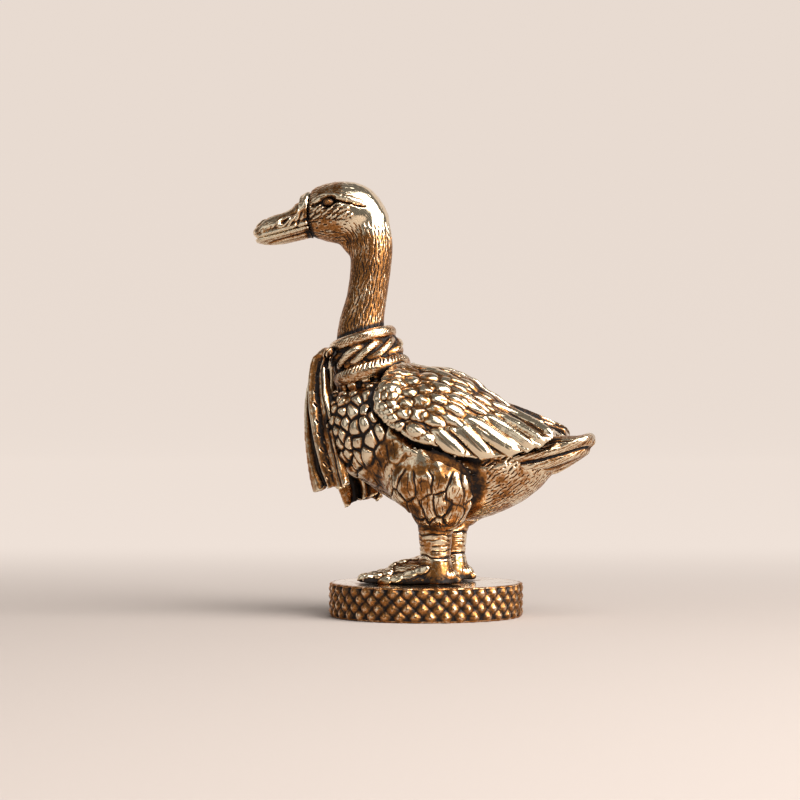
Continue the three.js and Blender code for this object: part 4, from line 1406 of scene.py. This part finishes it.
def make_lights(stage, right, into):
    """Weak light from all round, and the soft lamps, which face the figurine."""
    world = bpy.data.worlds.new("studio")
    world.use_nodes = True
    background = world.node_tree.nodes["Background"]
    background.inputs["Color"].default_value = opaque((1.0, 0.97, 0.94))
    background.inputs["Strength"].default_value = stage.ambient
    bpy.context.scene.world = world
    for name, (across, nearer, up, width, height) in SOFTBOXES.items():
        lamp = bpy.data.lights.new(f"{name}_softbox", "AREA")
        lamp.shape = "RECTANGLE"
        lamp.size = width
        lamp.size_y = height
        lamp.energy = getattr(stage, name)
        place = LAMP_TARGET + right * across - into * nearer + Vector(UP) * up
        holder = bpy.data.objects.new(f"{name}_softbox", lamp)
        holder.location = place
        holder.rotation_euler = (LAMP_TARGET - place).to_track_quat("-Z", "Y").to_euler()
        bpy.context.scene.collection.objects.link(holder)


def make_camera(stage, view, right, into):
    """The photograph's view."""
    lens = bpy.data.cameras.new("photo_view")
    lens.sensor_width = 36.0
    lens.lens = stage.camera_lens
    lens.clip_start = 0.01
    camera = bpy.data.objects.new("photo_view", lens)
    level = -stage.camera_distance * into - stage.camera_left * right
    camera.location = level + Vector(UP) * stage.camera_height
    camera.rotation_euler = (math.pi / 2, 0.0, view)
    bpy.context.scene.collection.objects.link(camera)
    bpy.context.scene.camera = camera
    bpy.context.scene.view_settings.view_transform = "Standard"


# Settings a user would change

def number(name, description, default, unit="NONE"):
    return FloatProperty(name=name, description=description, default=default, unit=unit)


def length(name, description, default):
    return FloatProperty(name=name, description=description, default=default, unit="LENGTH",
                         precision=6)


def whole_number(name, description, default):
    return IntProperty(name=name, description=description, default=default)


def colour(name, description, default):
    return FloatVectorProperty(name=name, description=description, default=default,
                               subtype="COLOR", size=3, min=0.0, max=1.0)


class GooseFinish(bpy.types.PropertyGroup):
    """Colours of the antiqued brass."""
    bright: colour("Bright", "Brass rubbed bright on the high places", (0.83, 0.67, 0.44))
    body: colour("Body", "Brass of the open surfaces", (0.41, 0.170, 0.044))
    brown: colour("Brown", "Thin patina", (0.115, 0.055, 0.023))
    dark: colour("Dark", "Thick patina in the hollows", (0.012, 0.008, 0.007))


class GoosePlumage(bpy.types.PropertyGroup):
    """Heights of the feather relief."""
    breast_height: length("Breast Feathers", "Height of the pebbled breast feathers", 0.00036)
    covert_height: length("Coverts", "Height of the wing's covert feathers", 0.00036)
    lobe_height: length("Thigh Lobes", "Height of the lobes on the thighs", 0.00024)
    stroke_depth: length("Strokes", "Depth of the fine strokes on neck and belly", 0.00009)


class GooseKnit(bpy.types.PropertyGroup):
    """The scarf's cable."""
    strands: whole_number("Strands", "Strands in the cable", 3)
    cable_twists: whole_number("Cable Twists", "Turns of a strand on its way round", 3)
    cable_coil: length("Cable Coil", "How far a strand swings up and down", 0.00058)
    strand_radius: length("Strand", "Radius of one strand", 0.00042)


class GooseRim(bpy.types.PropertyGroup):
    """The studded rim of the base."""
    studs: whole_number("Studs", "Studs in one row", 39)
    rows: whole_number("Rows", "Rows of studs", 4)
    stud_height: length("Stud Height", "Height of a stud", 0.00042)
    lip: length("Lip", "Plain edge above and below the studs", 0.00018)


class GooseStage(bpy.types.PropertyGroup):
    """Floor, light and camera."""
    floor_colour: colour("Floor", "Colour of the floor", (0.47, 0.40, 0.355))
    backdrop_colour: colour("Backdrop", "Even tone far behind the figurine", (0.80, 0.70, 0.63))
    ambient: number("Ambient", "Strength of the light from all round", 0.17)
    key: number("Key", "Power of the key light", 1.55, "POWER")
    side: number("Side", "Power of the side light", 2.4, "POWER")
    fill: number("Fill", "Power of the fill light", 0.3, "POWER")
    camera_turn: number("Turn", "Camera's turn round the base, in degrees", 14.0)
    camera_distance: length("Distance", "Camera's distance from the middle of the base", 0.280)
    camera_height: length("Height", "Camera's height", 0.0222)
    camera_left: length("Left", "Camera's step to the left", 0.00267)
    camera_lens: number("Lens", "Focal length in millimetres", 122.6)


# Operators

def figure_brass(context):
    return antiqued_brass("figure_brass", context.scene.goose_finish)


class GOOSE_OT_base(bpy.types.Operator):
    """Make the studded base and finish its pins"""
    bl_idname = "goose.base"
    bl_label = "Base"

    def execute(self, context):
        material = antiqued_brass("base_brass", context.scene.goose_finish, shine=0.02)
        make_base(context.scene.goose_rim, material)
        dress_pins(material)
        return {"FINISHED"}


class GOOSE_OT_body(bpy.types.Operator):
    """Make the feathered body"""
    bl_idname = "goose.body"
    bl_label = "Body"

    def execute(self, context):
        make_body(context.scene.goose_plumage, figure_brass(context))
        return {"FINISHED"}


class GOOSE_OT_head(bpy.types.Operator):
    """Make head and neck, bill and eyes"""
    bl_idname = "goose.head"
    bl_label = "Head, Bill and Eyes"

    def execute(self, context):
        material = figure_brass(context)
        make_head(context.scene.goose_plumage, material)
        make_upper_bill(material)
        make_lower_bill(material)
        finish = context.scene.goose_finish
        make_eyes(antiqued_brass("eye_brass", finish, shine=0.06, grain=0.4))
        return {"FINISHED"}


class GOOSE_OT_wings(bpy.types.Operator):
    """Make both wings"""
    bl_idname = "goose.wings"
    bl_label = "Wings"

    def execute(self, context):
        make_wings(context.scene.goose_plumage, figure_brass(context))
        return {"FINISHED"}


class GOOSE_OT_tail(bpy.types.Operator):
    """Make the tail"""
    bl_idname = "goose.tail"
    bl_label = "Tail"

    def execute(self, context):
        make_tail(figure_brass(context))
        return {"FINISHED"}


class GOOSE_OT_legs(bpy.types.Operator):
    """Make both legs with their feet"""
    bl_idname = "goose.legs"
    bl_label = "Legs"

    def execute(self, context):
        make_legs(context.scene.goose_plumage, figure_brass(context))
        return {"FINISHED"}


class GOOSE_OT_scarf(bpy.types.Operator):
    """Make the scarf's band and its two hanging ends"""
    bl_idname = "goose.scarf"
    bl_label = "Scarf"

    def execute(self, context):
        material = antiqued_brass("scarf_brass", context.scene.goose_finish, age=0.05)
        make_scarf_band(context.scene.goose_knit, material)
        make_scarf_end("scarf_left_end", -1, material)
        make_scarf_end("scarf_right_end", 1, material)
        return {"FINISHED"}


class GOOSE_OT_stage(bpy.types.Operator):
    """Make floor, lights and camera"""
    bl_idname = "goose.stage"
    bl_label = "Stage"

    def execute(self, context):
        stage = context.scene.goose_stage
        view = math.radians(stage.camera_turn)
        right = Vector((math.cos(view), math.sin(view), 0.0))
        into = Vector((-math.sin(view), math.cos(view), 0.0))
        make_floor(stage, right, into)
        make_lights(stage, right, into)
        make_camera(stage, view, right, into)
        return {"FINISHED"}


OPERATORS = [GOOSE_OT_base, GOOSE_OT_body, GOOSE_OT_head, GOOSE_OT_wings, GOOSE_OT_tail,
             GOOSE_OT_legs, GOOSE_OT_scarf, GOOSE_OT_stage]

SETTINGS = {"goose_finish": GooseFinish, "goose_plumage": GoosePlumage, "goose_knit": GooseKnit,
            "goose_rim": GooseRim, "goose_stage": GooseStage}


class GOOSE_PT_pieces(bpy.types.Panel):
    """Lists the figurine's pieces"""
    bl_label = "Goose"
    bl_idname = "GOOSE_PT_pieces"
    bl_space_type = "VIEW_3D"
    bl_region_type = "UI"
    bl_category = "Goose"

    def draw(self, context):
        for operator in OPERATORS:
            self.layout.operator(operator.bl_idname)


def register():
    for kind in [*SETTINGS.values(), *OPERATORS, GOOSE_PT_pieces]:
        bpy.utils.register_class(kind)
    for name, kind in SETTINGS.items():
        setattr(bpy.types.Scene, name, PointerProperty(type=kind))


def unregister():
    for name in SETTINGS:
        delattr(bpy.types.Scene, name)
    for kind in [GOOSE_PT_pieces, *OPERATORS, *SETTINGS.values()]:
        bpy.utils.unregister_class(kind)


def main():
    register()
    bpy.ops.goose.base()
    bpy.ops.goose.body()
    bpy.ops.goose.head()
    bpy.ops.goose.wings()
    bpy.ops.goose.tail()
    bpy.ops.goose.legs()
    bpy.ops.goose.scarf()
    bpy.ops.goose.stage()


if __name__ == "__main__":
    main()
